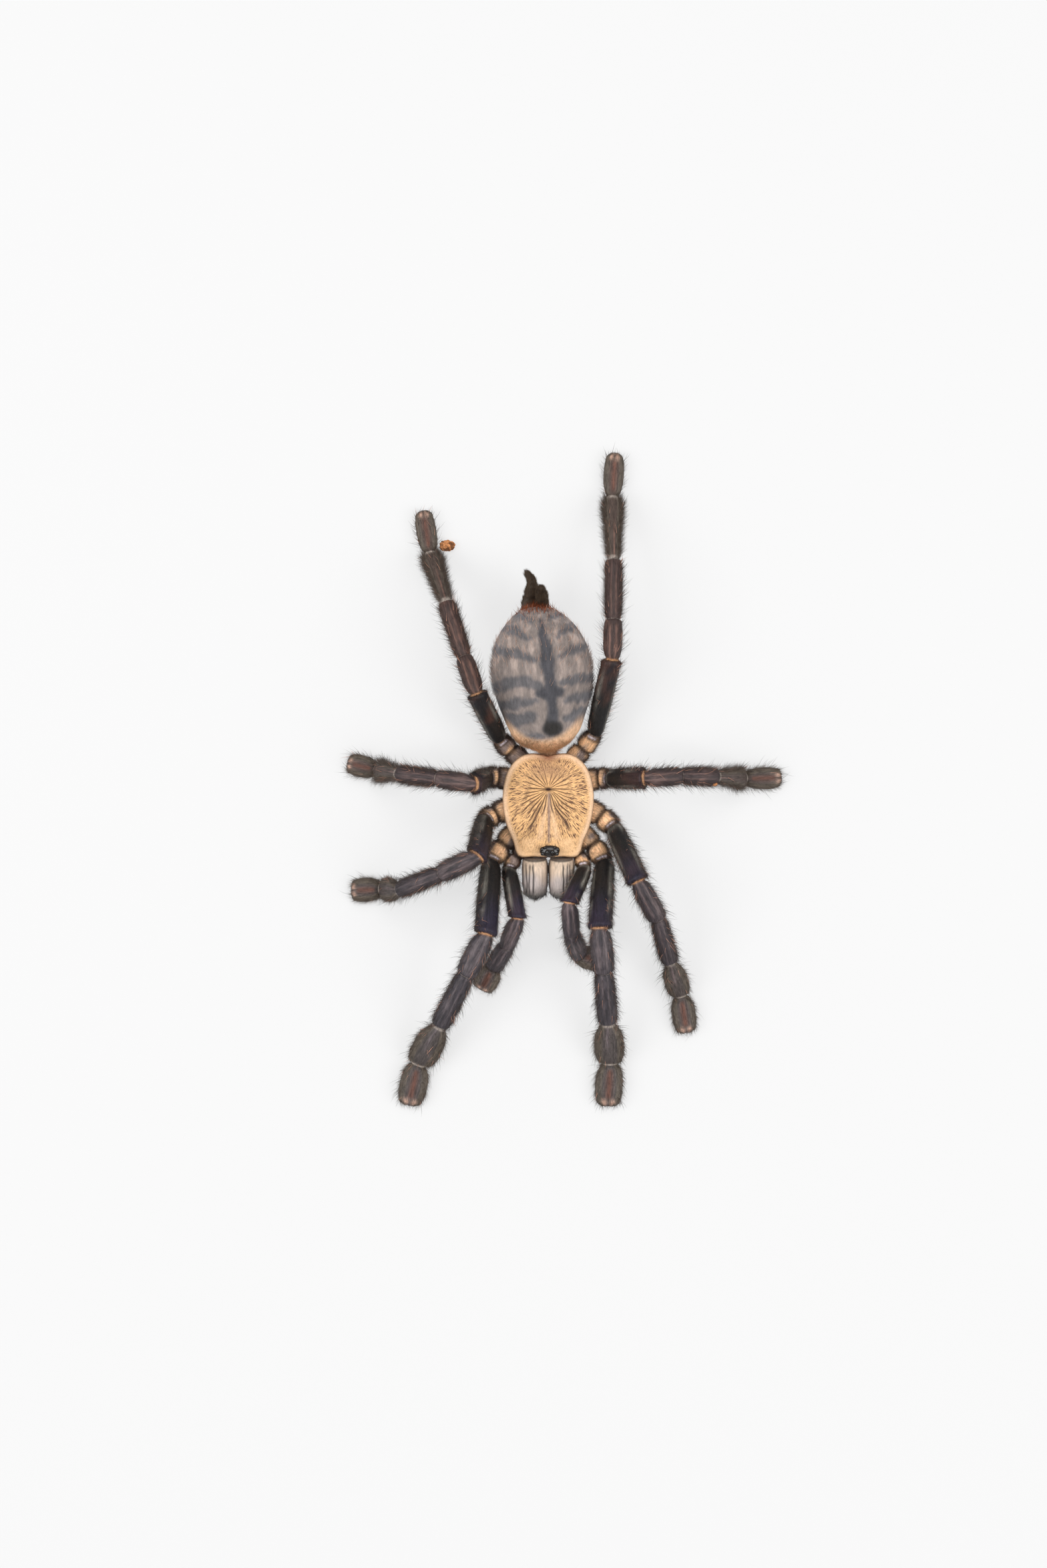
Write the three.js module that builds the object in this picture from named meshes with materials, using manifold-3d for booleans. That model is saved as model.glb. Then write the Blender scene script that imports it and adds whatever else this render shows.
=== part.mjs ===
// A dried tarantula, set in the stance of a live one, with no pin and no board.
//
// Millimetres. +Z is up from the surface that the feet stand on, and the origin is on that
// surface, under the middle of the leg span. The head faces -Y, so the spider's own left is at +X.
// Every leg is one stiff piece from its root at the body to its foot, as it is when dry.

import * as THREE from "three";
import { mergeVertices } from "three/addons/utils/BufferGeometryUtils.js";
import Module from "manifold-3d";

const wasm = await Module();
wasm.setup();

const { degToRad, radToDeg } = THREE.MathUtils;
const UP = new THREE.Vector3(0, 0, 1);

// Driving dimensions
const midX = -3.4; // the body's midline
const fit = 0.33; // gap between pieces that touch

const carapace = {
  centre: [midX, -4.8],
  rimTop: 7.9,
  rimThickness: 0.6,
  domeHeight: 3.3,
  headHeight: 1.5, // how far the head rises out of the dome
  headSpread: [4.6, 5.2],
  headForward: 7,
  // the outline, as degrees from +X and radius, from the front edge round to the rear notch
  outline: [
    [-90, 11.3],
    [-75, 11.65],
    [-61, 12.6],
    [-48, 10.9],
    [-31, 9.95],
    [-13, 9.45],
    [5, 9.5],
    [22, 9.95],
    [39, 10.7],
    [51, 11.3],
    [63, 11.5],
    [72, 11.2],
    [81, 10.2],
    [90, 9.5],
  ],
};
const fovea = { at: [midX, -2.0], halfWidth: 1.3, halfLength: 0.8, depth: 0.9 };
// The two grooves that run from the pit to the front corners and part the head from the rest:
// they leave the midline at forkOffset, and lean out by slope.
const furrow = { slope: 0.52, forkOffset: 0.4, halfWidth: 0.8, middle: 3.5, halfLength: 4.5, depth: 0.4 };
const tubercle = { at: [midX + 0.3, -14.7, 9.9], half: [2.1, 1.35, 1.15] };
// Eyes of one side: how far from the tubercle's middle, how far up its slope, and radius.
const eyes = [
  { out: 0.55, forward: 0.3, up: 1.0, radius: 0.46 },
  { out: 1.5, forward: 0.65, up: 0.5, radius: 0.42 },
  { out: 1.55, forward: -0.3, up: 0.6, radius: 0.4 },
  { out: 1.0, forward: -0.6, up: 0.85, radius: 0.25 },
];

const abdomen = {
  centre: [-4.75, 21.3, 9.6],
  half: [10.7, 14.9, 8.3],
  yaw: 3.8, // degrees that its rear end swings towards -X
  egg: 0.045, // how much wider the rear half is
};
const pedicelPath = [
  [midX, 8.4, 7.6],
  [midX, 5.6, 5.9],
  [midX, 3.1, 5.2],
];
const pedicelHalf = 1.25;

const sternum = { halfWidth: 4.1, front: -9.9, rear: 1.6, bottom: 1.9, top: 2.8 };
const trunk = { halfWidth: 2.2, halfLength: 5.2, y: -2.9, top: 7.0 };

const chelicera = { offset: 2.9, half: 2.45, base: [-16.45, 7.0], end: [-24.7, 4.9] };
const fang = {
  half: 0.75,
  taper: [0.8, 1, 0.75, 0.5, 0.16],
  // y and z down the curve, from the hinge at the front to the tip
  path: [
    [-24.3, 1.95],
    [-23.0, 1.15],
    [-21.4, 0.8],
    [-19.8, 0.8],
    [-18.4, 1.1],
  ],
};

// Half widths of the limb segments
const girth = {
  1: { coxa: 1.8, trochanter: 2.05, femur: 2.4, patella: 2.35, tibia: 2.1, metatarsus: 3.1, tarsus: 2.9 },
  2: { coxa: 1.9, trochanter: 2.0, femur: 2.25, patella: 2.1, tibia: 1.85, metatarsus: 2.45, tarsus: 2.5 },
  3: { coxa: 1.85, trochanter: 1.95, femur: 2.15, patella: 1.9, tibia: 1.85, metatarsus: 2.2, tarsus: 2.3 },
  4: { coxa: 1.75, trochanter: 1.85, femur: 2.1, patella: 2.0, tibia: 1.85, metatarsus: 2.0, tarsus: 2.15 },
  palp: { coxa: 1.35, trochanter: 1.45, femur: 1.85, patella: 1.85, tibia: 1.95, tarsus: 2.6 },
};

// Each limb's joints: coxa root, coxa end, trochanter end, knee, patella end, tibia end,
// metatarsus end (a palp has none) and tip.
const limbs = {
  leg_1_left: {
    build: girth[1],
    joints: [
      [0.3, -7.4, 4.5],
      [6.0, -13.6, 4.9],
      [8.3, -17.2, 5.6],
      [7.1, -30.7, 17.6],
      [8.0, -39.6, 14.6],
      [9.0, -50.6, 7.4],
      [9.6, -59.4, 1.9],
      [9.1, -68.4, 1.4],
    ],
  },
  leg_1_right: {
    build: girth[1],
    joints: [
      [-7.1, -7.4, 4.5],
      [-12.8, -13.6, 4.9],
      [-15.2, -17.0, 5.6],
      [-16.4, -32.0, 15.4],
      [-20.4, -40.2, 13.4],
      [-26.0, -51.2, 6.8],
      [-30.6, -59.6, 1.9],
      [-32.5, -68.2, 1.4],
    ],
  },
  leg_2_left: {
    build: girth[2],
    joints: [
      [0.8, -4.1, 4.5],
      [7.6, -7.6, 4.9],
      [10.2, -10.0, 5.6],
      [15.1, -21.1, 14.9],
      [19.3, -28.9, 11.8],
      [22.0, -38.1, 7.2],
      [24.4, -45.3, 1.9],
      [25.6, -53.0, 1.4],
    ],
  },
  leg_2_right: {
    build: girth[2],
    joints: [
      [-7.6, -4.1, 4.5],
      [-14.4, -7.2, 4.9],
      [-16.6, -8.4, 5.8],
      [-18.2, -15.8, 18.2],
      [-25.6, -19.4, 14.0],
      [-34.4, -22.9, 9.0],
      [-38.4, -22.9, 1.9],
      [-44.6, -23.2, 1.4],
    ],
  },
  leg_3_left: {
    build: girth[3],
    joints: [
      [0.8, -0.9, 4.5],
      [7.2, 0.3, 4.9],
      [9.4, 0.2, 5.7],
      [16.4, 0.3, 16.2],
      [24.0, 0.7, 13.4],
      [31.4, 0.6, 9.9],
      [37.9, 0.2, 1.9],
      [45.5, 0.4, 1.4],
    ],
  },
  leg_3_right: {
    build: girth[3],
    joints: [
      [-7.6, -0.9, 4.5],
      [-14.0, 0.6, 4.9],
      [-16.2, 0.5, 5.9],
      [-18.8, -0.8, 17.8],
      [-26.4, 0.2, 14.6],
      [-34.4, 1.2, 11.0],
      [-39.4, 2.1, 1.9],
      [-45.4, 3.5, 1.4],
    ],
  },
  leg_4_left: {
    build: girth[4],
    joints: [
      [-0.3, 2.1, 4.5],
      [3.9, 6.4, 4.9],
      [6.2, 9.6, 6.2],
      [9.7, 24.8, 14.8],
      [10.0, 33.0, 13.0],
      [10.1, 45.6, 10.2],
      [10.1, 59.2, 1.9],
      [10.6, 68.4, 1.4],
    ],
  },
  leg_4_right: {
    build: girth[4],
    joints: [
      [-6.5, 2.1, 4.5],
      [-11.2, 6.0, 4.9],
      [-13.5, 8.5, 6.0],
      [-18.2, 17.8, 17.6],
      [-20.8, 25.2, 14.4],
      [-24.6, 36.8, 11.6],
      [-28.1, 47.5, 1.9],
      [-29.6, 56.3, 1.4],
    ],
  },
  palp_left: {
    build: girth.palp,
    joints: [
      [-1.4, -10.2, 4.4],
      [3.2, -15.9, 4.6],
      [4.2, -18.5, 6.8],
      [0.9, -25.5, 14.8],
      [1.4, -32.0, 10.4],
      [3.2, -36.7, 2.6],
      [8.6, -38.0, 1.5],
    ],
  },
  palp_right: {
    build: girth.palp,
    joints: [
      [-5.4, -10.2, 4.4],
      [-10.0, -16.0, 4.6],
      [-11.6, -18.6, 5.2],
      [-9.8, -28.7, 11.6],
      [-12.1, -34.7, 7.4],
      [-15.0, -39.4, 2.6],
      [-17.4, -44.0, 1.5],
    ],
  },
};

// Rings of each segment: share of its length, then width, height above the axis and depth
// below it as shares of its half width.
const profiles = {
  coxa: [
    [0, 0.72, 0.8, 0.8],
    [0.35, 0.9, 1.05, 1.05],
    [0.8, 1, 1.1, 1.05],
    [0.98, 0.86, 0.95, 0.95],
  ],
  trochanter: [
    [0.25, 0.98, 1, 1],
    [0.6, 1.02, 1.03, 1],
    [0.95, 0.84, 0.88, 0.88],
  ],
  femur: [
    [0.08, 0.84, 0.88, 0.86],
    [0.25, 0.97, 1, 0.98],
    [0.6, 1.03, 1.05, 1],
    [0.95, 1, 1, 0.95],
    [0.99, 0.8, 0.8, 0.8],
  ],
  patella: [
    [0.04, 0.76, 0.76, 0.72],
    [0.16, 0.93, 0.93, 0.88],
    [0.5, 1.03, 1, 0.95],
    [0.86, 0.98, 0.95, 0.9],
    [0.98, 0.8, 0.78, 0.76],
  ],
  tibia: [
    [0.05, 0.86, 0.86, 0.86],
    [0.3, 1, 1, 1],
    [0.7, 1.02, 0.98, 1],
    [0.95, 0.94, 0.9, 0.9],
    [0.995, 0.66, 0.64, 0.64],
  ],
  broadMetatarsus: [
    [0.04, 0.52, 0.45, 0.45],
    [0.22, 0.86, 0.52, 0.55],
    [0.55, 1.02, 0.5, 0.6],
    [0.86, 0.9, 0.42, 0.55],
    [0.99, 0.55, 0.34, 0.5],
  ],
  slimMetatarsus: [
    [0.03, 0.62, 0.6, 0.6],
    [0.3, 0.72, 0.7, 0.7],
    [0.62, 0.86, 0.72, 0.75],
    [0.88, 1, 0.6, 0.75],
    [0.985, 0.62, 0.46, 0.6],
  ],
  // deep enough that the surface cuts it to a flat sole
  tarsus: [
    [0.04, 0.62, 0.5, 0.7],
    [0.2, 0.9, 0.58, 1.15],
    [0.5, 1.02, 0.58, 1.2],
    [0.8, 0.93, 0.5, 1.15],
    [0.95, 0.7, 0.38, 0.9],
    [1, 0.46, 0.22, 0.4],
  ],
  chelicera: [
    [0, 0.84, 0.9, 0.95],
    [0.14, 1, 1.2, 1.2],
    [0.45, 1.03, 1.35, 1.3],
    [0.75, 0.96, 1.2, 1.15],
    [0.92, 0.72, 0.8, 0.85],
    [1, 0.3, 0.35, 0.4],
  ],
};
const slimFeet = ["leg_3_left", "leg_3_right", "leg_4_left", "leg_4_right"];

const spinnerets = {
  long_left: {
    half: [1.25, 1.2, 1.05, 0.95, 0.6],
    path: [
      [-4.6, 31.5, 6.0],
      [-4.6, 35.8, 7.4],
      [-4.7, 37.8, 9.6],
      [-4.9, 39.0, 12.0],
      [-5.0, 39.6, 14.2],
    ],
  },
  long_right: {
    half: [1.3, 1.3, 1.15, 1.0, 0.6],
    path: [
      [-7.3, 31.5, 5.2],
      [-7.5, 36.0, 6.0],
      [-7.1, 38.6, 7.2],
      [-6.8, 40.9, 8.6],
      [-8.0, 43.1, 9.4],
    ],
  },
  short_left: {
    half: [0.7, 0.65, 0.4],
    path: [
      [-5.2, 30.5, 3.6],
      [-5.2, 34.0, 3.4],
      [-5.1, 35.9, 3.3],
    ],
  },
  short_right: {
    half: [0.7, 0.65, 0.4],
    path: [
      [-6.9, 30.5, 3.4],
      [-7.0, 34.0, 3.1],
      [-7.2, 35.7, 3.0],
    ],
  },
};

const crumb = { at: [-24.55, 49.0], half: [1.55, 1.15, 0.95], roughness: 0.14, lift: 0.75 };

// Colours, as the dried cuticle and its short hair show them
const finishes = {
  carapace: { color: 0xd9a35f, roughness: 0.55 },
  abdomen: { color: 0x5f5852, roughness: 0.9 },
  leg: { color: 0x3a2c2a, roughness: 0.75 },
  chelicera: { color: 0x9a8c84, roughness: 0.7 },
  fang: { color: 0x120c0a, roughness: 0.25 },
  sternum: { color: 0x4a3427, roughness: 0.8 },
  spinneret: { color: 0x33261c, roughness: 0.85 },
  soil: { color: 0x8a4a1c, roughness: 0.9 },
};

/** The solid of a closed geometry, with the vertices that share a place made one. */
function solidOf(geometry) {
  const bare = geometry.clone();
  bare.deleteAttribute("normal");
  bare.deleteAttribute("uv");
  const shared = mergeVertices(bare, 1e-4);
  return new wasm.Manifold(
    new wasm.Mesh({
      numProp: 3,
      vertProperties: shared.getAttribute("position").array,
      triVerts: new Uint32Array(shared.index.array),
    }),
  );
}

function geometryOf(solid) {
  const mesh = solid.getMesh();
  const geometry = new THREE.BufferGeometry();
  geometry.setAttribute("position", new THREE.BufferAttribute(mesh.vertProperties, 3));
  geometry.setIndex(new THREE.BufferAttribute(mesh.triVerts, 1));
  return geometry;
}

/** Moves every vertex of a geometry by a function of its place. */
function reshape(geometry, move) {
  const position = geometry.getAttribute("position");
  const point = new THREE.Vector3();
  for (let i = 0; i < position.count; i++) {
    move(point.fromBufferAttribute(position, i));
    position.setXYZ(i, point.x, point.y, point.z);
  }
  return geometry;
}

/** A closed tube through a list of rings, flattened where it would sink into the surface. */
function tubeThrough(rings, sides) {
  const steps = rings.length - 1;
  const tube = new THREE.CylinderGeometry(1, 1, steps, sides, steps);
  reshape(tube, (point) => {
    const ring = rings[Math.round(point.y + steps / 2)];
    const height = point.z > 0 ? ring.high : ring.deep;
    const offset = ring.side
      .clone()
      .multiplyScalar(point.x * ring.wide)
      .addScaledVector(ring.up, point.z * height);
    const slide = offset.dot(ring.lean);
    point.copy(ring.centre).add(offset).addScaledVector(ring.along, slide);
    point.z = Math.max(point.z, 0);
  });
  return solidOf(tube);
}

/**
 * The rings of a limb or of any chain of segments. Near a bend a ring leans into the plane
 * that halves the angle, so that two segments meet in a mitre.
 */
function ringsAlong(joints, segments) {
  const points = joints.map((joint) => new THREE.Vector3(...joint));
  const directions = segments.map((_, i) => points[i + 1].clone().sub(points[i]).normalize());
  const bendReach = 0.5; // share of a segment over which its rings lean
  return segments.flatMap(({ profile, half, hinge }, i) => {
    const along = directions[i];
    const length = points[i].distanceTo(points[i + 1]);
    const side = new THREE.Vector3();
    if (hinge) side.crossVectors(directions[i + 1], along).normalize();
    else side.crossVectors(along, UP).normalize();
    const up = new THREE.Vector3().crossVectors(side, along);
    return profiles[profile].map(([share, wide, high, deep]) => {
      const lean = new THREE.Vector3();
      const ends = [
        [directions[i - 1], share],
        [directions[i + 1], 1 - share],
      ];
      for (const [neighbour, away] of ends) {
        if (!neighbour) continue;
        const mitre = along.clone().add(neighbour).normalize();
        const weight = Math.max(0, 1 - away / bendReach);
        lean.addScaledVector(mitre, -weight / mitre.dot(along));
      }
      return {
        centre: points[i].clone().addScaledVector(along, share * length),
        along,
        side,
        up,
        lean,
        wide: wide * half,
        high: high * half,
        deep: deep * half,
      };
    });
  });
}

/** A leg or a palp, from its root under the carapace to the tip of its foot. */
function limb(name) {
  const { build, joints } = limbs[name];
  const metatarsus = slimFeet.includes(name) ? "slimMetatarsus" : "broadMetatarsus";
  const segments = Object.entries(build).map(([segment, half]) => ({
    profile: segment === "metatarsus" ? metatarsus : segment,
    half,
    hinge: segment === "femur",
  }));
  return tubeThrough(ringsAlong(joints, segments), 10);
}

/** A tapering tube with round sections along a smooth path. */
function taperedTube(path, halves, steps, sides) {
  const curve = new THREE.CatmullRomCurve3(path.map((point) => new THREE.Vector3(...point)));
  const rings = [];
  for (let i = 0; i <= steps; i++) {
    const at = i / steps;
    const place = at * (halves.length - 1);
    const before = Math.min(Math.floor(place), halves.length - 2);
    const half = THREE.MathUtils.lerp(halves[before], halves[before + 1], place - before);
    const along = curve.getTangent(at);
    const side = new THREE.Vector3().crossVectors(along, UP).normalize();
    const up = new THREE.Vector3().crossVectors(side, along);
    const lean = new THREE.Vector3();
    rings.push({ centre: curve.getPoint(at), along, side, up, lean, wide: half, high: half, deep: half });
  }
  return tubeThrough(rings, sides);
}

/** The carapace's radius in a direction, in degrees from +X, the same on both sides. */
function carapaceRadius(degrees) {
  const outline = carapace.outline;
  const next = Math.max(1, outline.findIndex(([angle]) => angle >= degrees));
  const [fromAngle, fromRadius] = outline[next - 1];
  const [toAngle, toRadius] = outline[next];
  const share = (degrees - fromAngle) / (toAngle - fromAngle);
  return THREE.MathUtils.lerp(fromRadius, toRadius, THREE.MathUtils.smoothstep(share, 0, 1));
}

const bell = (x, y) => Math.exp(-x * x - y * y);

/** Height of the carapace's top, at x and y from its centre and at a share of its radius. */
function carapaceTop(x, y, share) {
  const { rimTop, domeHeight, headHeight, headSpread, headForward, centre } = carapace;
  const dome = domeHeight * (1 - share * share) ** 0.7;
  const inland = 1 - share ** 6;
  const head = headHeight * bell(x / headSpread[0], (y + headForward) / headSpread[1]);
  const [pitX, pitY] = [fovea.at[0] - centre[0], fovea.at[1] - centre[1]];
  const pit = fovea.depth * bell((x - pitX) / fovea.halfWidth, (y - pitY) / fovea.halfLength);
  const across = Math.abs(x) + furrow.slope * y - furrow.forkOffset;
  const groove = furrow.depth * bell(across / furrow.halfWidth, (y + furrow.middle) / furrow.halfLength);
  return rimTop + dome + inland * (head - groove) - pit;
}

function carapaceSolid() {
  const [centreX, centreY] = carapace.centre;
  const shield = new THREE.SphereGeometry(1, 34, 12).rotateX(Math.PI / 2);
  reshape(shield, (point) => {
    const share = Math.min(1, Math.hypot(point.x, point.y));
    const radius = carapaceRadius(radToDeg(Math.atan2(point.y, Math.abs(point.x))));
    const x = point.x * radius;
    const y = point.y * radius;
    const under = carapace.rimTop - carapace.rimThickness * Math.min(1, (1 - share) * 6);
    const z = point.z >= 0 ? carapaceTop(x, y, share) : under;
    point.set(centreX + x, centreY + y, z);
  });
  const mound = new THREE.SphereGeometry(1, 14, 8).scale(...tubercle.half);
  mound.translate(...tubercle.at);
  let solid = solidOf(shield).add(solidOf(mound));
  for (const side of [-1, 1])
    for (const eye of eyes) {
      const lens = new THREE.OctahedronGeometry(eye.radius, 1);
      lens.translate(
        tubercle.at[0] + side * eye.out,
        tubercle.at[1] - eye.forward,
        tubercle.at[2] + eye.up,
      );
      solid = solid.add(solidOf(lens));
    }
  return solid;
}

/** The abdomen's egg shape, grown outwards by some millimetres. */
function abdomenShape(grow) {
  const [halfX, halfY, halfZ] = abdomen.half;
  const egg = new THREE.SphereGeometry(1, 24, 12);
  reshape(egg, (point) => {
    const swell = 1 + abdomen.egg * point.y;
    point.set(
      point.x * (halfX * swell + grow),
      point.y * (halfY + grow),
      point.z * (halfZ * swell + grow),
    );
  });
  return solidOf(egg.rotateZ(degToRad(abdomen.yaw)).translate(...abdomen.centre));
}

function abdomenSolid() {
  const waist = taperedTube(pedicelPath, [pedicelHalf, pedicelHalf, pedicelHalf], 5, 10);
  return abdomenShape(0).add(waist);
}

/** A spinneret, cut back to the abdomen that it grows from. */
function spinneret({ path, half }) {
  return taperedTube(path, half, 7, 8).subtract(abdomenShape(fit));
}

/** The breast plate, with the trunk above it that carries the carapace. */
function sternumSolid() {
  const { halfWidth, front, rear, bottom, top } = sternum;
  const bevel = 0.25;
  const heart = new THREE.Shape();
  heart.moveTo(midX, rear);
  heart.bezierCurveTo(midX + 0.7 * halfWidth, rear - 1.5, midX + halfWidth, -3.5, midX + halfWidth, -5.5);
  heart.bezierCurveTo(midX + halfWidth, -8, midX + 0.5 * halfWidth, front + 0.6, midX, front);
  heart.bezierCurveTo(midX - 0.5 * halfWidth, front + 0.6, midX - halfWidth, -8, midX - halfWidth, -5.5);
  heart.bezierCurveTo(midX - halfWidth, -3.5, midX - 0.7 * halfWidth, rear - 1.5, midX, rear);
  const plate = new THREE.ExtrudeGeometry(heart, {
    depth: top - bottom - 2 * bevel,
    curveSegments: 5,
    bevelThickness: bevel,
    bevelSize: bevel,
    bevelOffset: -bevel,
    bevelSegments: 1,
  }).translate(0, 0, bottom + bevel);
  const oval = new THREE.Shape().absellipse(midX, trunk.y, trunk.halfWidth, trunk.halfLength, 0, 2 * Math.PI);
  const inside = (bottom + top) / 2;
  const pillar = new THREE.ExtrudeGeometry(oval, {
    depth: trunk.top - inside,
    curveSegments: 5,
    bevelEnabled: false,
  }).translate(0, 0, inside);
  return solidOf(plate).add(solidOf(pillar));
}

function cheliceraSolid(side) {
  const x = midX + side * chelicera.offset;
  const joints = [
    [x, ...chelicera.base],
    [x, ...chelicera.end],
  ];
  return tubeThrough(ringsAlong(joints, [{ profile: "chelicera", half: chelicera.half }]), 12);
}

function fangSolid(side) {
  const x = midX + side * chelicera.offset;
  const path = fang.path.map(([y, z]) => [x, y, z]);
  const halves = fang.taper.map((share) => share * fang.half);
  return taperedTube(path, halves, 8, 8);
}

/** A lump of dry soil that clings to the side of one foot, flat where it lies on the surface. */
function crumbSolid() {
  const [halfX, halfY, halfZ] = crumb.half;
  const lump = new THREE.IcosahedronGeometry(1, 1);
  reshape(lump, (point) => {
    const { x, y, z } = point;
    const rough = 1 + crumb.roughness * Math.sin(7 * x + 4 * y) * Math.cos(5 * z - 3 * y);
    point.set(
      crumb.at[0] + x * rough * halfX,
      crumb.at[1] + y * rough * halfY,
      Math.max(0, (crumb.lift + z * rough) * halfZ),
    );
  });
  return solidOf(lump);
}

const specimen = new THREE.Group();

function addPiece(name, solid, finish) {
  const geometry = geometryOf(solid);
  geometry.computeVertexNormals();
  const material = new THREE.MeshStandardMaterial({ ...finishes[finish], metalness: 0 });
  const piece = new THREE.Mesh(geometry, material);
  piece.name = name;
  specimen.add(piece);
}

addPiece("carapace", carapaceSolid(), "carapace");
addPiece("sternum", sternumSolid(), "sternum");
addPiece("abdomen", abdomenSolid(), "abdomen");
for (const [word, side] of [
  ["left", 1],
  ["right", -1],
]) {
  addPiece(`chelicera_${word}`, cheliceraSolid(side), "chelicera");
  addPiece(`fang_${word}`, fangSolid(side), "fang");
}
for (const name of Object.keys(limbs)) addPiece(name, limb(name), "leg");
for (const [name, shape] of Object.entries(spinnerets))
  addPiece(`spinneret_${name}`, spinneret(shape), "spinneret");
addPiece("soil_crumb", crumbSolid(), "soil");

export default specimen;
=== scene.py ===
import bmesh
import bpy
import numpy as np
from mathutils import Matrix, Vector


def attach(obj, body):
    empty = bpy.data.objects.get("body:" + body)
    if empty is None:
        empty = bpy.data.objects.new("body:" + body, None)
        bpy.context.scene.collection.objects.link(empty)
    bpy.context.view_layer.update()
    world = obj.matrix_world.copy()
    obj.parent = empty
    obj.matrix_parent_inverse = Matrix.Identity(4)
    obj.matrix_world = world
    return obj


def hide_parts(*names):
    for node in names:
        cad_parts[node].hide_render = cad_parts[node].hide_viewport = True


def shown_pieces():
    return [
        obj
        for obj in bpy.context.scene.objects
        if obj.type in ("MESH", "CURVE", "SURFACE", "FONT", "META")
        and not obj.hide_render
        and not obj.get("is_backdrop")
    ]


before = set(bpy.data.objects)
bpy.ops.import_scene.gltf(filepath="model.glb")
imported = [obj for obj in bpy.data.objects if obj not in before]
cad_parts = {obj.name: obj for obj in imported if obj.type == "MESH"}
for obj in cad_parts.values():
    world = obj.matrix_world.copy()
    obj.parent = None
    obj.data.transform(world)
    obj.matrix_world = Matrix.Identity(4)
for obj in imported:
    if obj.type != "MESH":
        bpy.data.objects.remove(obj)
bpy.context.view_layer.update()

mm = 0.001  # lengths below are in mm, apart from those of the studio
up = np.array([0.0, 0.0, 1.0])
midX = -3.4  # the body's midline
tiny = 1e-6  # keeps a share or a density above zero


# small helpers for numbers and colours

def hexColour(code):
    srgb = np.array([int(code[i:i + 2], 16) for i in (0, 2, 4)]) / 255
    return np.where(srgb <= 0.04045, srgb / 12.92, ((srgb + 0.055) / 1.055) ** 2.4)


def rgba(code):
    return (*hexColour(code), 1.0)


def palette(codes):
    return {name: hexColour(code) for name, code in codes.items()}


def unit(vectors):
    length = np.linalg.norm(vectors, axis=-1, keepdims=True)
    return vectors / np.maximum(length, 1e-12)


def ramp(value, low, high):
    share = np.clip((value - low) / (high - low), 0, 1)
    return share * share * (3 - 2 * share)


def hump(value, centre, halfWidth):
    return np.exp(-((value - centre) / halfWidth) ** 2)


def mix(first, second, share):
    share = np.asarray(share)[..., None]
    return np.asarray(first) * (1 - share) + np.asarray(second) * share


def stack(*columns):
    return np.stack(columns, axis=1)


def wobble(points, scale, seed):  # smooth noise from -1 to 1, from a few crossing waves
    rng = np.random.default_rng(seed)
    total = np.zeros(len(points))
    for step in range(9):
        direction = unit(rng.normal(size=3))
        pitch = scale * (0.7 + 0.22 * step)
        total += np.sin(points @ direction * pitch + rng.uniform(0, 6.3)) / (1 + 0.35 * step)
    return np.clip(total / 2.6, -1, 1)


def alongTable(table, shares):  # a smooth curve through the rows of a table, by its first column
    table = np.array(table, float)
    x, y = table[:, 0], table[:, 1:]
    slope = np.gradient(y, x, axis=0)
    shares = np.clip(shares, x[0], x[-1])
    i = np.clip(np.searchsorted(x, shares) - 1, 0, len(x) - 2)
    h = (x[i + 1] - x[i])[:, None]
    t = (shares[:, None] - x[i][:, None]) / h
    return (
        y[i] * (2 * t**3 - 3 * t**2 + 1) + slope[i] * h * (t**3 - 2 * t**2 + t)
        + y[i + 1] * (3 * t**2 - 2 * t**3) + slope[i + 1] * h * (t**3 - t**2)
    )


# small helpers for meshes

def readValues(data, field):
    values = np.zeros(len(data) * 3, np.float32)
    data.foreach_get(field, values)
    return values.reshape(-1, 3).astype(float)


def readPoints(mesh):
    return readValues(mesh.vertices, "co")


def normalsOf(mesh):
    return readValues(mesh.vertices, "normal")


def getVectors(mesh, name):
    return readValues(mesh.attributes[name].data, "vector")


def writePoints(mesh, points):
    mesh.vertices.foreach_set("co", points.astype(np.float32).ravel())
    mesh.update()


def setVectors(mesh, name, values):
    layer = mesh.attributes.new(name, "FLOAT_VECTOR", "POINT")
    layer.data.foreach_set("vector", values.astype(np.float32).ravel())


def setPaint(mesh, colours):  # one colour at each vertex, or one for them all
    values = np.ones((len(mesh.vertices), 4), np.float32)
    values[:, :3] = np.clip(colours, 0, 1)
    layer = mesh.attributes.new("paint", "FLOAT_COLOR", "POINT")
    layer.data.foreach_set("color", values.ravel())


def addObject(name, data):
    made = bpy.data.objects.new(name, data)
    bpy.context.scene.collection.objects.link(made)
    return made


def addPiece(name, mesh, material, replaced=()):
    piece = addObject(name, mesh)
    mesh.materials.append(material)
    mesh.shade_smooth()
    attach(piece, "root")
    if replaced:
        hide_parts(*replaced)


def toMesh(bm, name):
    mesh = bpy.data.meshes.new(name)
    bm.to_mesh(mesh)
    bm.free()
    return mesh


def joined(name, meshes):  # several meshes as one, with the attributes they share
    bm = bmesh.new()
    for mesh in meshes:
        bm.from_mesh(mesh)
    return toMesh(bm, name)


def closeUp(mesh):  # merges seams, closes ends and points the faces outwards
    mergeDistance = 0.0001 * mm
    bm = bmesh.new()
    bm.from_mesh(mesh)
    bmesh.ops.remove_doubles(bm, verts=bm.verts, dist=mergeDistance)
    openEdges = [edge for edge in bm.edges if edge.is_boundary]
    if openEdges:
        bmesh.ops.holes_fill(bm, edges=openEdges, sides=0)
    bmesh.ops.recalc_face_normals(bm, faces=bm.faces)
    bm.to_mesh(mesh)
    bm.free()
    mesh.update()
    return mesh


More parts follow.
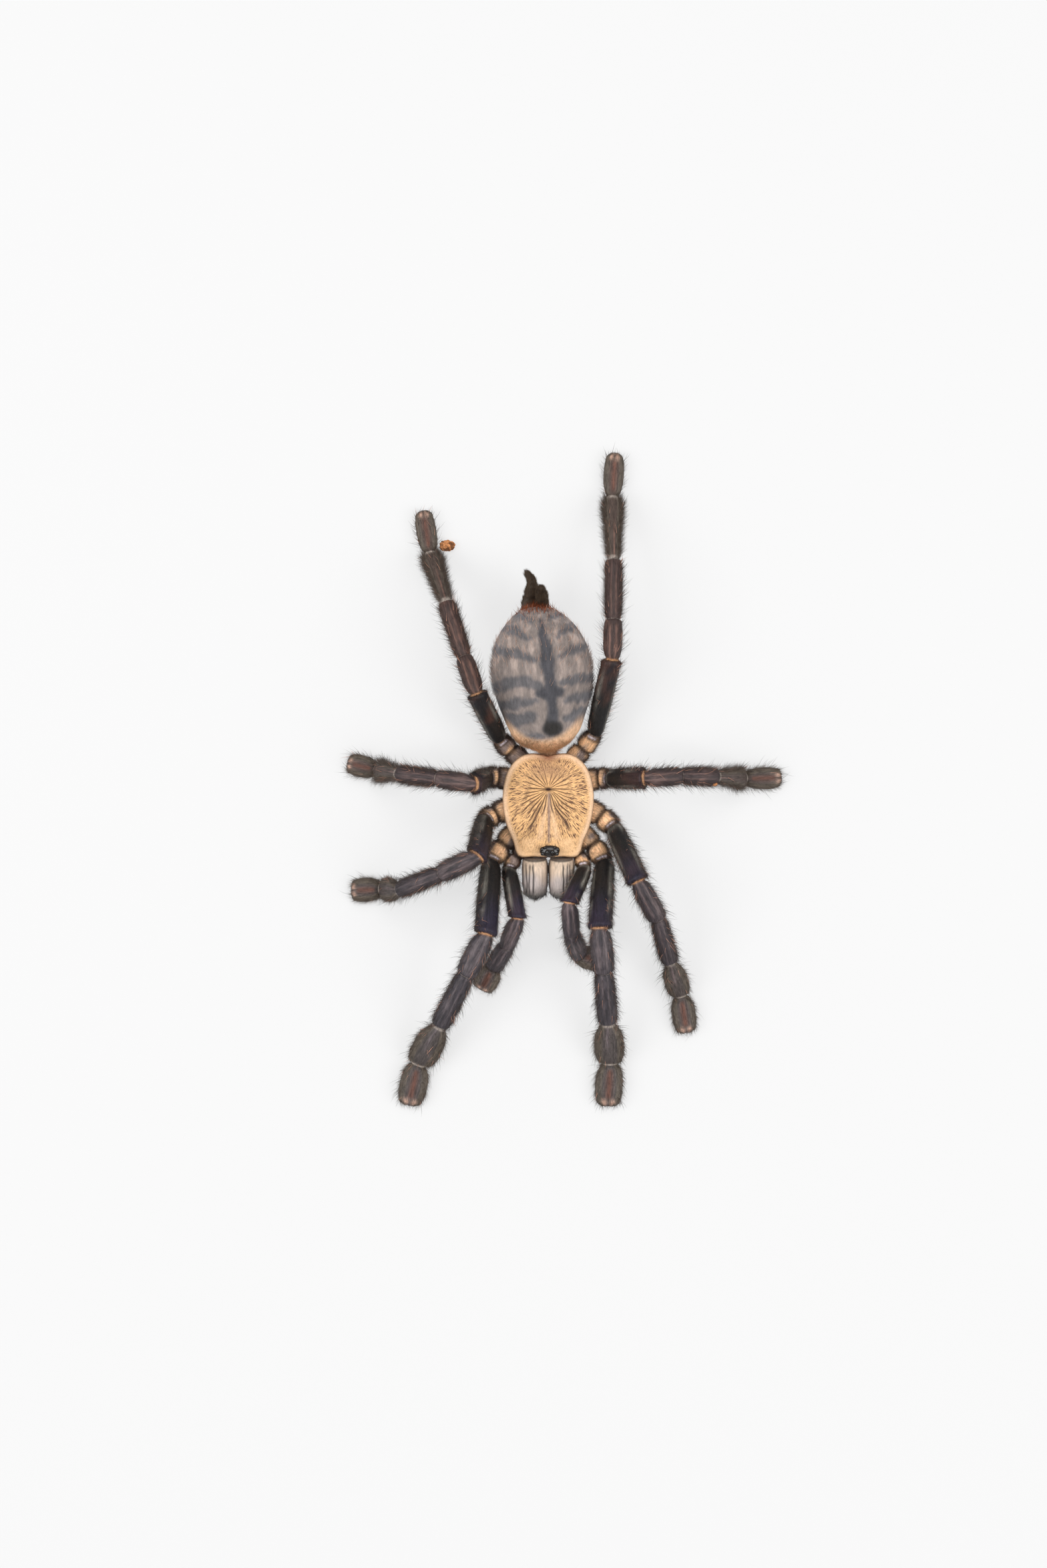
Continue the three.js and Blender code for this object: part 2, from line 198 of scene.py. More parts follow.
def sortFaces(bm):  # the sphere operator lists its faces in another order each run
    bm.verts.index_update()
    listed = sorted(bm.faces, key=lambda face: [vert.index for vert in face.verts])
    places = {face: place for place, face in enumerate(listed)}
    bm.faces.sort(key=places.get)


def ballMesh(name, across, down, shape):  # a sphere whose unit points a function moves
    bm = bmesh.new()
    bmesh.ops.create_uvsphere(bm, u_segments=across, v_segments=down, radius=1)
    sortFaces(bm)  # hair roots are drawn by face, so the order has to stay the same
    mesh = toMesh(bm, name)
    writePoints(mesh, shape(readPoints(mesh)) * mm)
    return closeUp(mesh)


def straightRings(start, end, side, shares):  # rings along a line, still without their sizes
    def repeat(vector):
        return np.tile(vector, (len(shares), 1))
    along = unit(end - start)
    return {"centre": start + (end - start) * shares[:, None], "along": repeat(along),
            "side": repeat(side), "up": repeat(np.cross(side, along)), "lean": repeat([0.0, 0.0, 0.0])}


def curveRings(path, halves, count):  # rings along a smooth path of a few points
    path = np.array(path, float)
    shares = np.linspace(0, 1, count)
    centre = alongTable(np.column_stack([np.linspace(0, 1, len(path)), path]), shares)
    along = unit(np.gradient(centre, axis=0))
    side = unit(np.cross(along, up))
    half = alongTable(np.column_stack([np.linspace(0, 1, len(halves)), halves]), shares)[:, 0]
    length = np.concatenate([[0], np.cumsum(np.linalg.norm(np.diff(centre, axis=0), axis=1))])
    return {"centre": centre, "along": along, "side": side, "up": np.cross(side, along),
            "lean": np.zeros_like(centre), "wide": half, "high": half, "deep": half,
            "place": shares, "length": length}


def sweptTube(name, rings, sides):  # a grid rolled up into a tube through the rings
    count = len(rings["centre"])
    bm = bmesh.new()
    bmesh.ops.create_grid(bm, x_segments=sides, y_segments=count - 1, size=1)
    mesh = toMesh(bm, name)
    flat = readPoints(mesh)
    k = np.rint((flat[:, 1] + 1) / 2 * (count - 1)).astype(int)
    side = np.sin(flat[:, 0] * np.pi)
    top = np.cos(flat[:, 0] * np.pi)
    wide = side * rings["wide"][k]
    tall = top * np.where(top > 0, rings["high"][k], rings["deep"][k])
    offset = rings["side"][k] * wide[:, None] + rings["up"][k] * tall[:, None]
    slide = (offset * rings["lean"][k]).sum(axis=1)
    points = rings["centre"][k] + offset + rings["along"][k] * slide[:, None]
    points[:, 2] = np.maximum(points[:, 2], 0)
    writePoints(mesh, points * mm)
    setVectors(mesh, "place", stack(rings["place"][k], side, top))
    streakStretch = 0.14  # long along the limb, so that noise on it makes lengthwise streaks
    setVectors(mesh, "streak", stack(wide, tall, rings["length"][k] * streakStretch))
    return closeUp(mesh)


# Hair: thin three-sided spikes, all of one piece in one mesh. A hair's dictionary holds count,
# length (low and high), rise (degrees), girth, spread, droop and rings, and for its colour gain
# (of the skin's colour), tint and cover, between (two colours) and shade (dark and light).
hairBuild = {"sink": 0.06, "taper": 0.65, "ground": 0.02, "girths": (0.75, 1.2)}


def spikeShape(rings):  # an open cone of length 1, with a ring of corners at each bend
    bm = bmesh.new()
    bmesh.ops.create_cone(bm, cap_ends=False, segments=3, radius1=1, radius2=0, depth=1)
    bmesh.ops.remove_doubles(bm, verts=bm.verts, dist=0.001)
    bmesh.ops.translate(bm, verts=bm.verts, vec=(0, 0, 0.5))
    bmesh.ops.rotate(bm, verts=bm.verts, matrix=Matrix.Rotation(-np.pi / 2, 3, "Z"))
    for ring in range(1, rings):
        whole = bm.verts[:] + bm.edges[:] + bm.faces[:]
        bmesh.ops.bisect_plane(bm, geom=whole, plane_co=(0, 0, ring / rings), plane_no=(0, 0, 1))
    bmesh.ops.triangulate(bm, faces=bm.faces)
    spike = toMesh(bm, "spike")
    return readPoints(spike), np.array([face.vertices[:] for face in spike.polygons])


def pickRoots(mesh, count, rng, density):  # random places on a mesh, more where density is high
    mesh.calc_loop_triangles()
    corners = np.zeros(len(mesh.loop_triangles) * 3, np.int32)
    mesh.loop_triangles.foreach_get("vertices", corners)
    corners = corners.reshape(-1, 3)
    points = readPoints(mesh)
    a, b, c = (points[corners[:, i]] for i in range(3))
    area = np.linalg.norm(np.cross(b - a, c - a), axis=1)
    weight = area * density[corners].mean(axis=1)
    chosen = rng.choice(len(corners), size=count, p=weight / weight.sum())
    fromFirst, fromSecond = np.sqrt(rng.random(count)), rng.random(count)
    shares = stack(1 - fromFirst, fromFirst * (1 - fromSecond), fromFirst * fromSecond)
    return corners[chosen], shares


def atRoots(values, roots):  # a value of the vertices, at the places that pickRoots chose
    corners, shares = roots
    return (values[corners] * shares[..., None]).sum(axis=1)


def hairColour(skin, hair, rng):
    colour = skin * hair.get("gain", 1)
    if "tint" in hair:
        colour = mix(colour, hexColour(hair["tint"]), hair["cover"])
    if "between" in hair:
        first, second = hair["between"]
        colour = mix(hexColour(first), hexColour(second), rng.random(len(skin)))
    if "shade" in hair:
        colour = colour * rng.uniform(*hair["shade"], len(skin))[:, None]
    return colour


def growHair(name, mesh, hair, density, rng, lookAt):
    # lookAt gives the way the hair lies and the skin's colour at each root, and a scale of length
    count = hair["count"]
    roots = pickRoots(mesh, count, rng, density)
    where = atRoots(readPoints(mesh), roots)
    normal = unit(atRoots(normalsOf(mesh), roots))
    flow, skin, scale = lookAt(roots, where, normal)
    colour = hairColour(skin, hair, rng)
    turn = rng.normal(0, hair["spread"], count)[:, None]
    tangent = unit(flow - normal * (flow * normal).sum(axis=1, keepdims=True))
    tangent = unit(tangent * np.cos(turn) + np.cross(normal, tangent) * np.sin(turn))
    rise = np.radians(rng.uniform(*hair["rise"], count))[:, None]
    heading = tangent * np.cos(rise) + normal * np.sin(rise)
    length = (rng.uniform(*hair["length"], count) * scale)[:, None, None]
    sideways = unit(np.cross(heading, normal))
    across = np.cross(heading, sideways)
    girth = hair["girth"] / 2 * rng.uniform(*hairBuild["girths"], count)[:, None, None]
    corners, faces = spikeShape(hair["rings"])
    share = corners[:, 2:]
    bent = heading[:, None] * share - normal[:, None] * hair["droop"] * share**2
    centre = (where / mm - normal * hairBuild["sink"])[:, None] + bent * length
    # the cone's corners are 1 - share wide, and a hair narrows more slowly up to its last ring
    out = corners[:, :2] * (1 - hairBuild["taper"] * share) / np.maximum(1 - share, tiny)
    points = centre + (sideways[:, None] * out[:, :1] + across[:, None] * out[:, 1:]) * girth
    points[..., 2] = np.maximum(points[..., 2], hairBuild["ground"])
    triangles = (np.arange(count)[:, None, None] * len(corners) + faces).reshape(-1, 3)
    hairs = bpy.data.meshes.new(name)
    hairs.vertices.add(count * len(corners))
    hairs.loops.add(triangles.size)
    hairs.polygons.add(len(triangles))
    hairs.vertices.foreach_set("co", (points * mm).astype(np.float32).ravel())
    hairs.loops.foreach_set("vertex_index", triangles.astype(np.int32).ravel())
    hairs.polygons.foreach_set("loop_start", np.arange(0, triangles.size, 3, dtype=np.int32))
    hairs.update(calc_edges=True)
    setPaint(hairs, np.repeat(colour, len(corners), axis=0))
    return hairs


# materials

def addNode(tree, kind, values=None, **settings):
    node = tree.nodes.new("ShaderNode" + kind)
    for label, value in settings.items():
        setattr(node, label, value)
    for label, value in (values or {}).items():
        node.inputs[label].default_value = value
    return node


def makeStreaksGroup():  # fine light and dark streaks, laid over a colour
    group = bpy.data.node_groups.new("fineStreaks", "ShaderNodeTree")
    socket = group.interface.new_socket
    socket("Colour", in_out="INPUT", socket_type="NodeSocketColor")
    socket("Vector", in_out="INPUT", socket_type="NodeSocketVector")
    socket("Scale", in_out="INPUT", socket_type="NodeSocketFloat").default_value = 3.0
    socket("Strength", in_out="INPUT", socket_type="NodeSocketFloat").default_value = 0.3
    socket("Colour", in_out="OUTPUT", socket_type="NodeSocketColor")
    socket("Height", in_out="OUTPUT", socket_type="NodeSocketFloat")
    into, out = group.nodes.new("NodeGroupInput"), group.nodes.new("NodeGroupOutput")
    grain = addNode(group, "TexNoise", {"Detail": 4, "Roughness": 0.62})
    swing = addNode(group, "MapRange", {"From Min": 0.3, "From Max": 0.7, "To Min": -1.0, "To Max": 1.0})
    gain = addNode(group, "Math", {2: 1.0}, operation="MULTIPLY_ADD")
    tinted = addNode(group, "VectorMath", operation="SCALE")
    link = group.links.new
    link(into.outputs["Vector"], grain.inputs["Vector"])
    link(into.outputs["Scale"], grain.inputs["Scale"])
    link(grain.outputs["Fac"], swing.inputs["Value"])
    link(swing.outputs["Result"], gain.inputs[0])
    link(into.outputs["Strength"], gain.inputs[1])
    link(into.outputs["Colour"], tinted.inputs[0])
    link(gain.outputs["Value"], tinted.inputs["Scale"])
    link(tinted.outputs["Vector"], out.inputs["Colour"])
    link(grain.outputs["Fac"], out.inputs["Height"])
    return group


streaksGroup = makeStreaksGroup()
bumpDistance = 0.1 * mm


def paintedMaterial(name, look):
    # stretch lays the streaks out in the object's space; without it they follow the limb
    material = bpy.data.materials.new(name)
    material.use_nodes = True
    tree = material.node_tree
    link = tree.links.new
    shader = tree.nodes["Principled BSDF"]
    paint = addNode(tree, "Attribute", attribute_name="paint")
    streaks = addNode(tree, "Group", node_tree=streaksGroup)
    streaks.inputs["Scale"].default_value = look["scale"]
    streaks.inputs["Strength"].default_value = look["strength"]
    if "stretch" in look:
        where = addNode(tree, "TexCoord")
        stretch = addNode(tree, "Mapping", {"Scale": look["stretch"]})
        link(where.outputs["Object"], stretch.inputs["Vector"])
        link(stretch.outputs["Vector"], streaks.inputs["Vector"])
    else:
        where = addNode(tree, "Attribute", attribute_name="streak")
        link(where.outputs["Vector"], streaks.inputs["Vector"])
    link(paint.outputs["Color"], streaks.inputs["Colour"])
    link(streaks.outputs["Colour"], shader.inputs["Base Color"])
    if "bump" in look:
        bump = addNode(tree, "Bump", {"Strength": look["bump"], "Distance": bumpDistance})
        link(streaks.outputs["Height"], bump.inputs["Height"])
        link(bump.outputs["Normal"], shader.inputs["Normal"])
    shader.inputs["Roughness"].default_value = look["roughness"]
    shader.inputs["Specular IOR Level"].default_value = look["specular"]
    return material


even = (1000, 1000, 1000)
hairLook = {"stretch": (400, 400, 400), "scale": 3.0, "strength": 0.35, "roughness": 0.6, "specular": 0.2}
looks = {
    "limbSkin": {"scale": 3.2, "strength": 0.55, "roughness": 0.58, "specular": 0.4, "bump": 0.6},
    "limbHair": hairLook,
    "abdomenSkin": {"stretch": (900, 250, 900), "scale": 2.4, "strength": 0.25, "roughness": 0.8,
                    "specular": 0.4, "bump": 0.4},
    "abdomenHair": {**hairLook, "roughness": 0.7, "strength": 0.3},
    "carapaceSkin": {"stretch": even, "scale": 3.2, "strength": 0.14, "roughness": 0.75,
                     "specular": 0.25, "bump": 0.35},
    "bodyHair": hairLook,
    "cheliceraSkin": {"scale": 3.0, "strength": 0.25, "roughness": 0.5, "specular": 0.4, "bump": 0.4},
    "horn": {"stretch": even, "scale": 1.2, "strength": 0.2, "roughness": 0.18, "specular": 0.6},
    "eyeLens": {"stretch": even, "scale": 0.8, "strength": 0.2, "roughness": 0.06, "specular": 0.7},
    "soil": {"stretch": even, "scale": 3.5, "strength": 0.5, "roughness": 0.9, "specular": 0.4, "bump": 1.0},
}
materials = {name: paintedMaterial(name, look) for name, look in looks.items()}
print("materials ready")

# The legs and palps. Half widths of their segments, from the body to the tip.
girths = {
    "leg1": {"coxa": 1.8, "trochanter": 2.05, "femur": 2.4, "patella": 2.35, "tibia": 2.1,
             "metatarsus": 3.1, "tarsus": 2.9},
    "leg2": {"coxa": 1.9, "trochanter": 2.0, "femur": 2.25, "patella": 2.1, "tibia": 1.85,
             "metatarsus": 2.45, "tarsus": 2.5},
    "leg3": {"coxa": 1.85, "trochanter": 1.95, "femur": 2.15, "patella": 1.9, "tibia": 1.85,
             "metatarsus": 2.2, "tarsus": 2.3},
    "leg4": {"coxa": 1.75, "trochanter": 1.85, "femur": 2.1, "patella": 2.0, "tibia": 1.85,
             "metatarsus": 2.0, "tarsus": 2.15},
    "palp": {"coxa": 1.35, "trochanter": 1.45, "femur": 1.85, "patella": 1.85, "tibia": 1.95,
             "tarsus": 2.6},
}
# Joints run from the root at the body to the tip of the foot.
limbs = {
    "leg_1_left": {"build": "leg1", "warmth": 0.12, "joints": [
        (0.3, -7.4, 4.5), (6.0, -13.6, 4.9), (8.3, -17.2, 5.6), (7.1, -30.7, 17.6),
        (8.0, -39.6, 14.6), (9.0, -50.6, 7.4), (9.6, -59.4, 1.9), (9.1, -68.4, 1.4)]},
    "leg_1_right": {"build": "leg1", "warmth": 0.08, "joints": [
        (-7.1, -7.4, 4.5), (-12.8, -13.6, 4.9), (-15.2, -17.0, 5.6), (-16.4, -32.0, 15.4),
        (-20.4, -40.2, 13.4), (-26.0, -51.2, 6.8), (-30.6, -59.6, 1.9), (-32.5, -68.2, 1.4)]},
    "leg_2_left": {"build": "leg2", "warmth": 0.25, "joints": [
        (0.8, -4.1, 4.5), (7.6, -7.6, 4.9), (10.2, -10.0, 5.6), (15.1, -21.1, 14.9),
        (19.3, -28.9, 11.8), (22.0, -38.1, 7.2), (24.4, -45.3, 1.9), (25.6, -53.0, 1.4)]},
    "leg_2_right": {"build": "leg2", "warmth": 0.2, "joints": [
        (-7.6, -4.1, 4.5), (-14.4, -7.2, 4.9), (-16.6, -8.4, 5.8), (-18.2, -15.8, 18.2),
        (-25.6, -19.4, 14.0), (-34.4, -22.9, 9.0), (-38.4, -22.9, 1.9), (-44.6, -23.2, 1.4)]},
    "leg_3_left": {"build": "leg3", "warmth": 0.55, "joints": [
        (0.8, -0.9, 4.5), (7.2, 0.3, 4.9), (9.4, 0.2, 5.7), (16.4, 0.3, 16.2),
        (24.0, 0.7, 13.4), (31.4, 0.6, 9.9), (37.9, 0.2, 1.9), (45.5, 0.4, 1.4)]},
    "leg_3_right": {"build": "leg3", "warmth": 0.5, "joints": [
        (-7.6, -0.9, 4.5), (-14.0, 0.6, 4.9), (-16.2, 0.5, 5.9), (-18.8, -0.8, 17.8),
        (-26.4, 0.2, 14.6), (-34.4, 1.2, 11.0), (-39.4, 2.1, 1.9), (-45.4, 3.5, 1.4)]},
    "leg_4_left": {"build": "leg4", "warmth": 0.85, "joints": [
        (-0.3, 2.1, 4.5), (3.9, 6.4, 4.9), (6.2, 9.6, 6.2), (9.7, 24.8, 14.8),
        (10.0, 33.0, 13.0), (10.1, 45.6, 10.2), (10.1, 59.2, 1.9), (10.6, 68.4, 1.4)]},
    "leg_4_right": {"build": "leg4", "warmth": 0.9, "joints": [
        (-6.5, 2.1, 4.5), (-11.2, 6.0, 4.9), (-13.5, 8.5, 6.0), (-18.2, 17.8, 17.6),
        (-20.8, 25.2, 14.4), (-24.6, 36.8, 11.6), (-28.1, 47.5, 1.9), (-29.6, 56.3, 1.4)]},
    "palp_left": {"build": "palp", "warmth": 0.2, "joints": [
        (-1.4, -10.2, 4.4), (3.2, -15.9, 4.6), (4.2, -18.5, 6.8), (0.9, -25.5, 14.8),
        (1.4, -32.0, 10.4), (3.2, -36.7, 2.6), (8.6, -38.0, 1.5)]},
    "palp_right": {"build": "palp", "warmth": 0.2, "joints": [
        (-5.4, -10.2, 4.4), (-10.0, -16.0, 4.6), (-11.6, -18.6, 5.2), (-9.8, -28.7, 11.6),
        (-12.1, -34.7, 7.4), (-15.0, -39.4, 2.6), (-17.4, -44.0, 1.5)]},
}
# Rings of a segment: share of its length, then width, height and depth as shares of its half width
profiles = {
    "coxa": [(0, 0.8, 0.8, 0.8), (0.35, 1.12, 1.05, 1.05), (0.8, 1.25, 1.1, 1.05),
             (0.93, 1.15, 1, 0.98), (1, 0.9, 0.8, 0.8)],
    "trochanter": [(0, 0.86, 0.8, 0.8), (0.2, 1.08, 1, 1), (0.6, 1.1, 1.03, 1),
                   (0.9, 0.94, 0.92, 0.9), (1, 0.78, 0.74, 0.74)],
    "femur": [(0, 0.7, 0.72, 0.7), (0.07, 0.86, 0.9, 0.86), (0.25, 0.97, 1, 0.98), (0.6, 1.03, 1.05, 1),
              (0.9, 1.01, 1.01, 0.96), (0.975, 0.99, 0.98, 0.92), (1, 0.66, 0.64, 0.64)],
    "patella": [(0, 0.66, 0.62, 0.62), (0.06, 0.8, 0.78, 0.74), (0.18, 0.95, 0.94, 0.88),
                (0.5, 1.03, 1, 0.95), (0.86, 0.98, 0.95, 0.9), (0.965, 0.88, 0.86, 0.82),
                (1, 0.7, 0.68, 0.66)],
    "tibia": [(0, 0.74, 0.72, 0.72), (0.05, 0.88, 0.86, 0.86), (0.3, 1, 1, 1), (0.7, 1.02, 0.98, 1),
              (0.93, 0.96, 0.9, 0.92), (0.975, 0.86, 0.8, 0.82), (1, 0.56, 0.54, 0.54)],
    "broadMetatarsus": [(0, 0.5, 0.42, 0.42), (0.08, 0.62, 0.48, 0.5), (0.22, 0.88, 0.54, 0.58),
                        (0.55, 1.03, 0.52, 0.64), (0.86, 0.92, 0.44, 0.58), (0.96, 0.74, 0.4, 0.52),
                        (1, 0.5, 0.32, 0.45)],
    "slimMetatarsus": [(0, 0.6, 0.58, 0.58), (0.3, 0.72, 0.7, 0.7), (0.62, 0.88, 0.73, 0.76),
                       (0.88, 1, 0.62, 0.75), (0.96, 0.84, 0.54, 0.66), (1, 0.58, 0.42, 0.55)],
    "tarsus": [(0, 0.52, 0.42, 0.6), (0.06, 0.7, 0.52, 0.8), (0.2, 0.92, 0.6, 1.1), (0.5, 1.03, 0.6, 1.15),
               (0.8, 0.95, 0.52, 1.1), (0.94, 0.76, 0.4, 0.9), (1, 0.42, 0.2, 0.4)],
}
slimBuilds = ("leg3", "leg4")
limbBuild = {"sides": 64, "rings": 24, "pile": 0.12, "bendReach": 0.5, "endGap": 0.0075}
limbColours = palette({
    # crease is a painted shade for creases and for where segments meet
    # shine is a pale painted highlight on the trochanter
    "tan": "e2b68c", "greyBrown": "86746c", "creaseShade": "35261f", "paintedHighlight": "c9bec6",
    # olive is the hair's olive-grey near the femur's base, and a painted side sheen on its flanks
    # violet is partly the hair's own violet hue, partly a painted sheen
    "black": "120f0f", "rust": "462a20", "violetSheen": "262133", "oliveAndSheen": "77736b", "gold": "bd8c62",
    "cool": "433f46", "warm": "4c352e", "coolBald": "665e62", "warmBald": "7a5648",
    "joint": "a89c92", "scopula": "5c5248", "footStripe": "5e382b", "pink": "c6a08c",
})
limbLift = {"palp": 1.35}  # how much lighter than the legs
limbHair = {
    "pile": {"leg": 14000, "palp": 8000, "length": (0.35, 0.75), "rise": (7, 20), "girth": 0.075,
             "spread": 0.16, "droop": 0.1, "rings": 1, "shade": (0.85, 1.22)},
    "tuft": {"leg": 1500, "palp": 900, "length": (0.7, 1.6), "rise": (14, 48), "girth": 0.06,
             "spread": 0.7, "droop": 0.1, "rings": 1, "shade": (0.65, 1.25)},
    "down": {"leg": 6600, "palp": 2600, "length": (0.7, 2.0), "rise": (24, 62), "girth": 0.045,
             "spread": 0.35, "droop": 0.15, "rings": 1, "shade": (0.6, 1.3), "tint": "6a5a50",
             "cover": 0.5, "onSlimMetatarsus": 1.5},
    "long": {"leg": 520, "palp": 110, "length": (1.8, 4.0), "rise": (32, 62), "girth": 0.055,
             "spread": 0.35, "droop": 0.2, "rings": 2, "gain": 0.6, "tint": "3a302c", "cover": 0.5},
    "pale": {"leg": 80, "palp": 30, "length": (1.4, 3.0), "rise": (15, 50), "girth": 0.07,
             "spread": 0.5, "droop": 0.2, "rings": 2, "shade": (0.7, 1.2), "tint": "c08e78", "cover": 1},
}
# How thickly the down and the long hair grow on each segment, and the brush of the hind legs
downShares = {"coxa": 1.0, "trochanter": 1.0, "femur": 0.8, "patella": 0.7, "tibia": 1.1,
              "metatarsus": 1.0, "tarsus": 0.7}
hindBrush = {"leg3": {"tibia": 1.6, "metatarsus": 1.8}, "leg4": {"tibia": 3, "metatarsus": 9}}
longShares = {"coxa": 0.25, "trochanter": 0.3, "femur": 0.7, "patella": 0.9, "tibia": 1.0,
              "metatarsus": 0.8, "tarsus": 0.25}


def limbRings(name):
    build = limbs[name]["build"]
    joints = np.array(limbs[name]["joints"], float)
    headings = unit(np.diff(joints, axis=0))
    lengths = np.linalg.norm(np.diff(joints, axis=0), axis=1)
    gap = limbBuild["endGap"]
    shares = (1 - np.cos(np.linspace(0, np.pi, limbBuild["rings"]))) / 2 * (1 - 2 * gap) + gap
    parts = []
    for i, (segment, half) in enumerate(girths[build].items()):
        along = headings[i]
        side = unit(np.cross(headings[i + 1], along) if segment == "femur" else np.cross(along, up))
        if segment == "metatarsus":
            segment = "slimMetatarsus" if build in slimBuilds else "broadMetatarsus"
        ring = straightRings(joints[i], joints[i + 1], side, shares)
        sizes = alongTable(profiles[segment], shares).T * half - limbBuild["pile"]
        ring["wide"], ring["high"], ring["deep"] = sizes
        # near a bend the rings lean into its mitre, so that segments meet without a gap
        for neighbour, away in ((i - 1, shares), (i + 1, 1 - shares)):
            if 0 <= neighbour < len(headings):
                mitre = unit(along + headings[neighbour])
                weight = np.maximum(0, 1 - away / limbBuild["bendReach"])
                ring["lean"] -= mitre * (weight / (mitre @ along))[:, None]
        ring["place"] = i + shares
        ring["length"] = lengths[:i].sum() + lengths[i] * shares
        parts.append(ring)
    return {key: np.concatenate([part[key] for part in parts]) for key in parts[0]}


def paintSegment(segment, share, side, top, grain, warmth):
    # The colour of a segment's skin and hair, and how thickly the hair grows, at each point.
    # share runs along it, side across it and top around it; grain is noise
    c = limbColours
    body = mix(c["cool"], c["warm"], warmth)
    bald = mix(c["coolBald"], c["warmBald"], warmth)
    flank = np.abs(side)
    if segment in ("coxa", "trochanter"):
        colour = mix(c["tan"], c["greyBrown"], ramp(grain + 0.35 * flank, -0.05, 0.5))
        # painted shade darkens the flanks of the coxa and trochanter, as shade in creases
        colour = mix(colour, c["creaseShade"], 0.9 * ramp(flank + 0.15 * grain, 0.66, 0.92))
        if segment == "coxa":
            # painted shade at the coxa's end, where it meets the trochanter
            return mix(colour, c["creaseShade"], 0.9 * ramp(share, 0.86, 0.98)), 0.8
        # painted shade in the folds at both ends of the trochanter
        folds = np.maximum(1 - ramp(share, 0.03, 0.2), ramp(share, 0.62, 0.76))
        colour = mix(colour, c["creaseShade"], 0.85 * folds)
        # a pale painted highlight on top of the trochanter, over a bare spot where the hair thins
        paintedHighlight = hump(share, 0.87, 0.045) * ramp(top, 0.72, 0.95)
        return mix(colour, c["paintedHighlight"], np.clip(1.2 * paintedHighlight, 0, 1)), 0.8 * (1 - 0.95 * paintedHighlight)
    if segment == "femur":
        # violet towards the femur's end on its upper side: partly the hair's violet hue, partly a painted
        # sheen
        violetSheen = ramp(share, 0.4, 0.9) * (1 - warmth) * ramp(top, -0.2, 0.7)
        colour = mix(c["black"], c["violetSheen"], violetSheen)
        colour = mix(colour, c["rust"], 0.7 * warmth * ramp(grain + share, 0.3, 1.2))
        # light olive streaks along the femur's flanks are a painted side sheen; the olive patch at its base
        # is the hair's own olive-grey
        streak = hump(flank, 0.78, 0.14) * (1 - ramp(share, 0.6, 0.97)) * ramp(grain, -0.8, 0.2)
        base = (1 - ramp(share, 0.02, 0.14)) * ramp(grain, -0.5, 0.5)
        colour = mix(colour, c["oliveAndSheen"], np.clip(0.75 * streak + 0.6 * base, 0, 1))
        rim = ramp(share, 0.987, 0.991)
        return mix(colour, c["gold"], rim * ramp(grain, -1.2, 0.0)), 1.25 - 1.1 * rim
    if segment == "patella":  # two bald stripes, and a golden tuft at its start
        lines = hump(side, 0.34, 0.13) + hump(side, -0.34, 0.13)
        lines *= ramp(top, 0.0, 0.5) * (1 - ramp(share, 0.72, 0.92))
        paleness = np.clip(lines + 0.5 * ramp(grain, 0.0, 0.7), 0, 1)
        colour = mix(body * 0.62, bald * 0.7, paleness)
        colour = mix(colour, c["gold"], 0.8 * hump(share, 0.0, 0.022) * ramp(top, 0.1, 0.8))
        colour = mix(colour, c["joint"], 0.5 * ramp(share, 0.97, 0.99))
        return colour, 1 - 0.6 * np.clip(lines, 0, 1)
    if segment == "tibia":
        lines = hump(side, 0.3, 0.1) + hump(side, -0.3, 0.1)
        lines *= ramp(top, 0.0, 0.5) * hump(share, 0.35, 0.4)
        paleness = np.clip(0.8 * lines + 0.3 * ramp(grain, 0.1, 0.8), 0, 1)
        colour = mix(body * 0.62, bald * 0.72, paleness)
        rim = ramp(share, 0.955, 0.98) * ramp(grain, -1.0, 0.3)
        return mix(colour, c["joint"], rim), 1 - 0.5 * np.clip(lines, 0, 1) - 0.4 * rim
    brush = ramp(flank, 0.4, 0.75) + ramp(-top, 0.1, 0.5)
    colour = mix(body, c["scopula"], np.clip(brush + 0.45, 0, 1)) * 0.82
    if segment == "metatarsus":
        line = hump(side, 0.12, 0.1) * ramp(top, 0.2, 0.7) * (1 - ramp(share, 0.35, 0.7))
        colour = mix(colour, bald, 0.8 * line)
        rim = ramp(share, 0.94, 0.975) * ramp(top, -0.4, 0.3) + 0.6 * (1 - ramp(share, 0.015, 0.05))
        rim = np.clip(rim, 0, 1)
        return mix(colour, c["joint"], 0.9 * rim), 1.2 - 0.6 * rim
    # the tarsus has a red-brown stripe and two pink pads at its tip
    line = hump(side, 0.0, 0.24) * ramp(top, 0.2, 0.7) * ramp(share, 0.04, 0.15)
    line = line * (1 - ramp(share, 0.74, 0.86))
    colour = mix(colour, c["footStripe"], np.clip(0.85 * line, 0, 1))
    pads = hump(share, 0.9, 0.07) * hump(flank, 0.35, 0.22) * ramp(top, 0, 0.6)
    return mix(colour, c["pink"], 0.75 * pads), 1.3 - 0.9 * line


def paintLimb(name, place, points):
    build = limbs[name]["build"]
    segments = list(girths[build])
    index = np.clip(place[:, 0].astype(int), 0, len(segments) - 1)
    share = place[:, 0] - index
    across = unit(place[:, 1:3])
    grain = wobble(points / mm, 1.1, 4)
    colour = np.zeros((len(place), 3))
    thick = np.zeros(len(place))
    for i, segment in enumerate(segments):
        here = index == i
        colour[here], thick[here] = paintSegment(
            segment, share[here], across[here, 0], across[here, 1], grain[here], limbs[name]["warmth"])
    return colour * (limbLift.get(build, 1.0) + 0.1 * grain)[:, None], thick, index


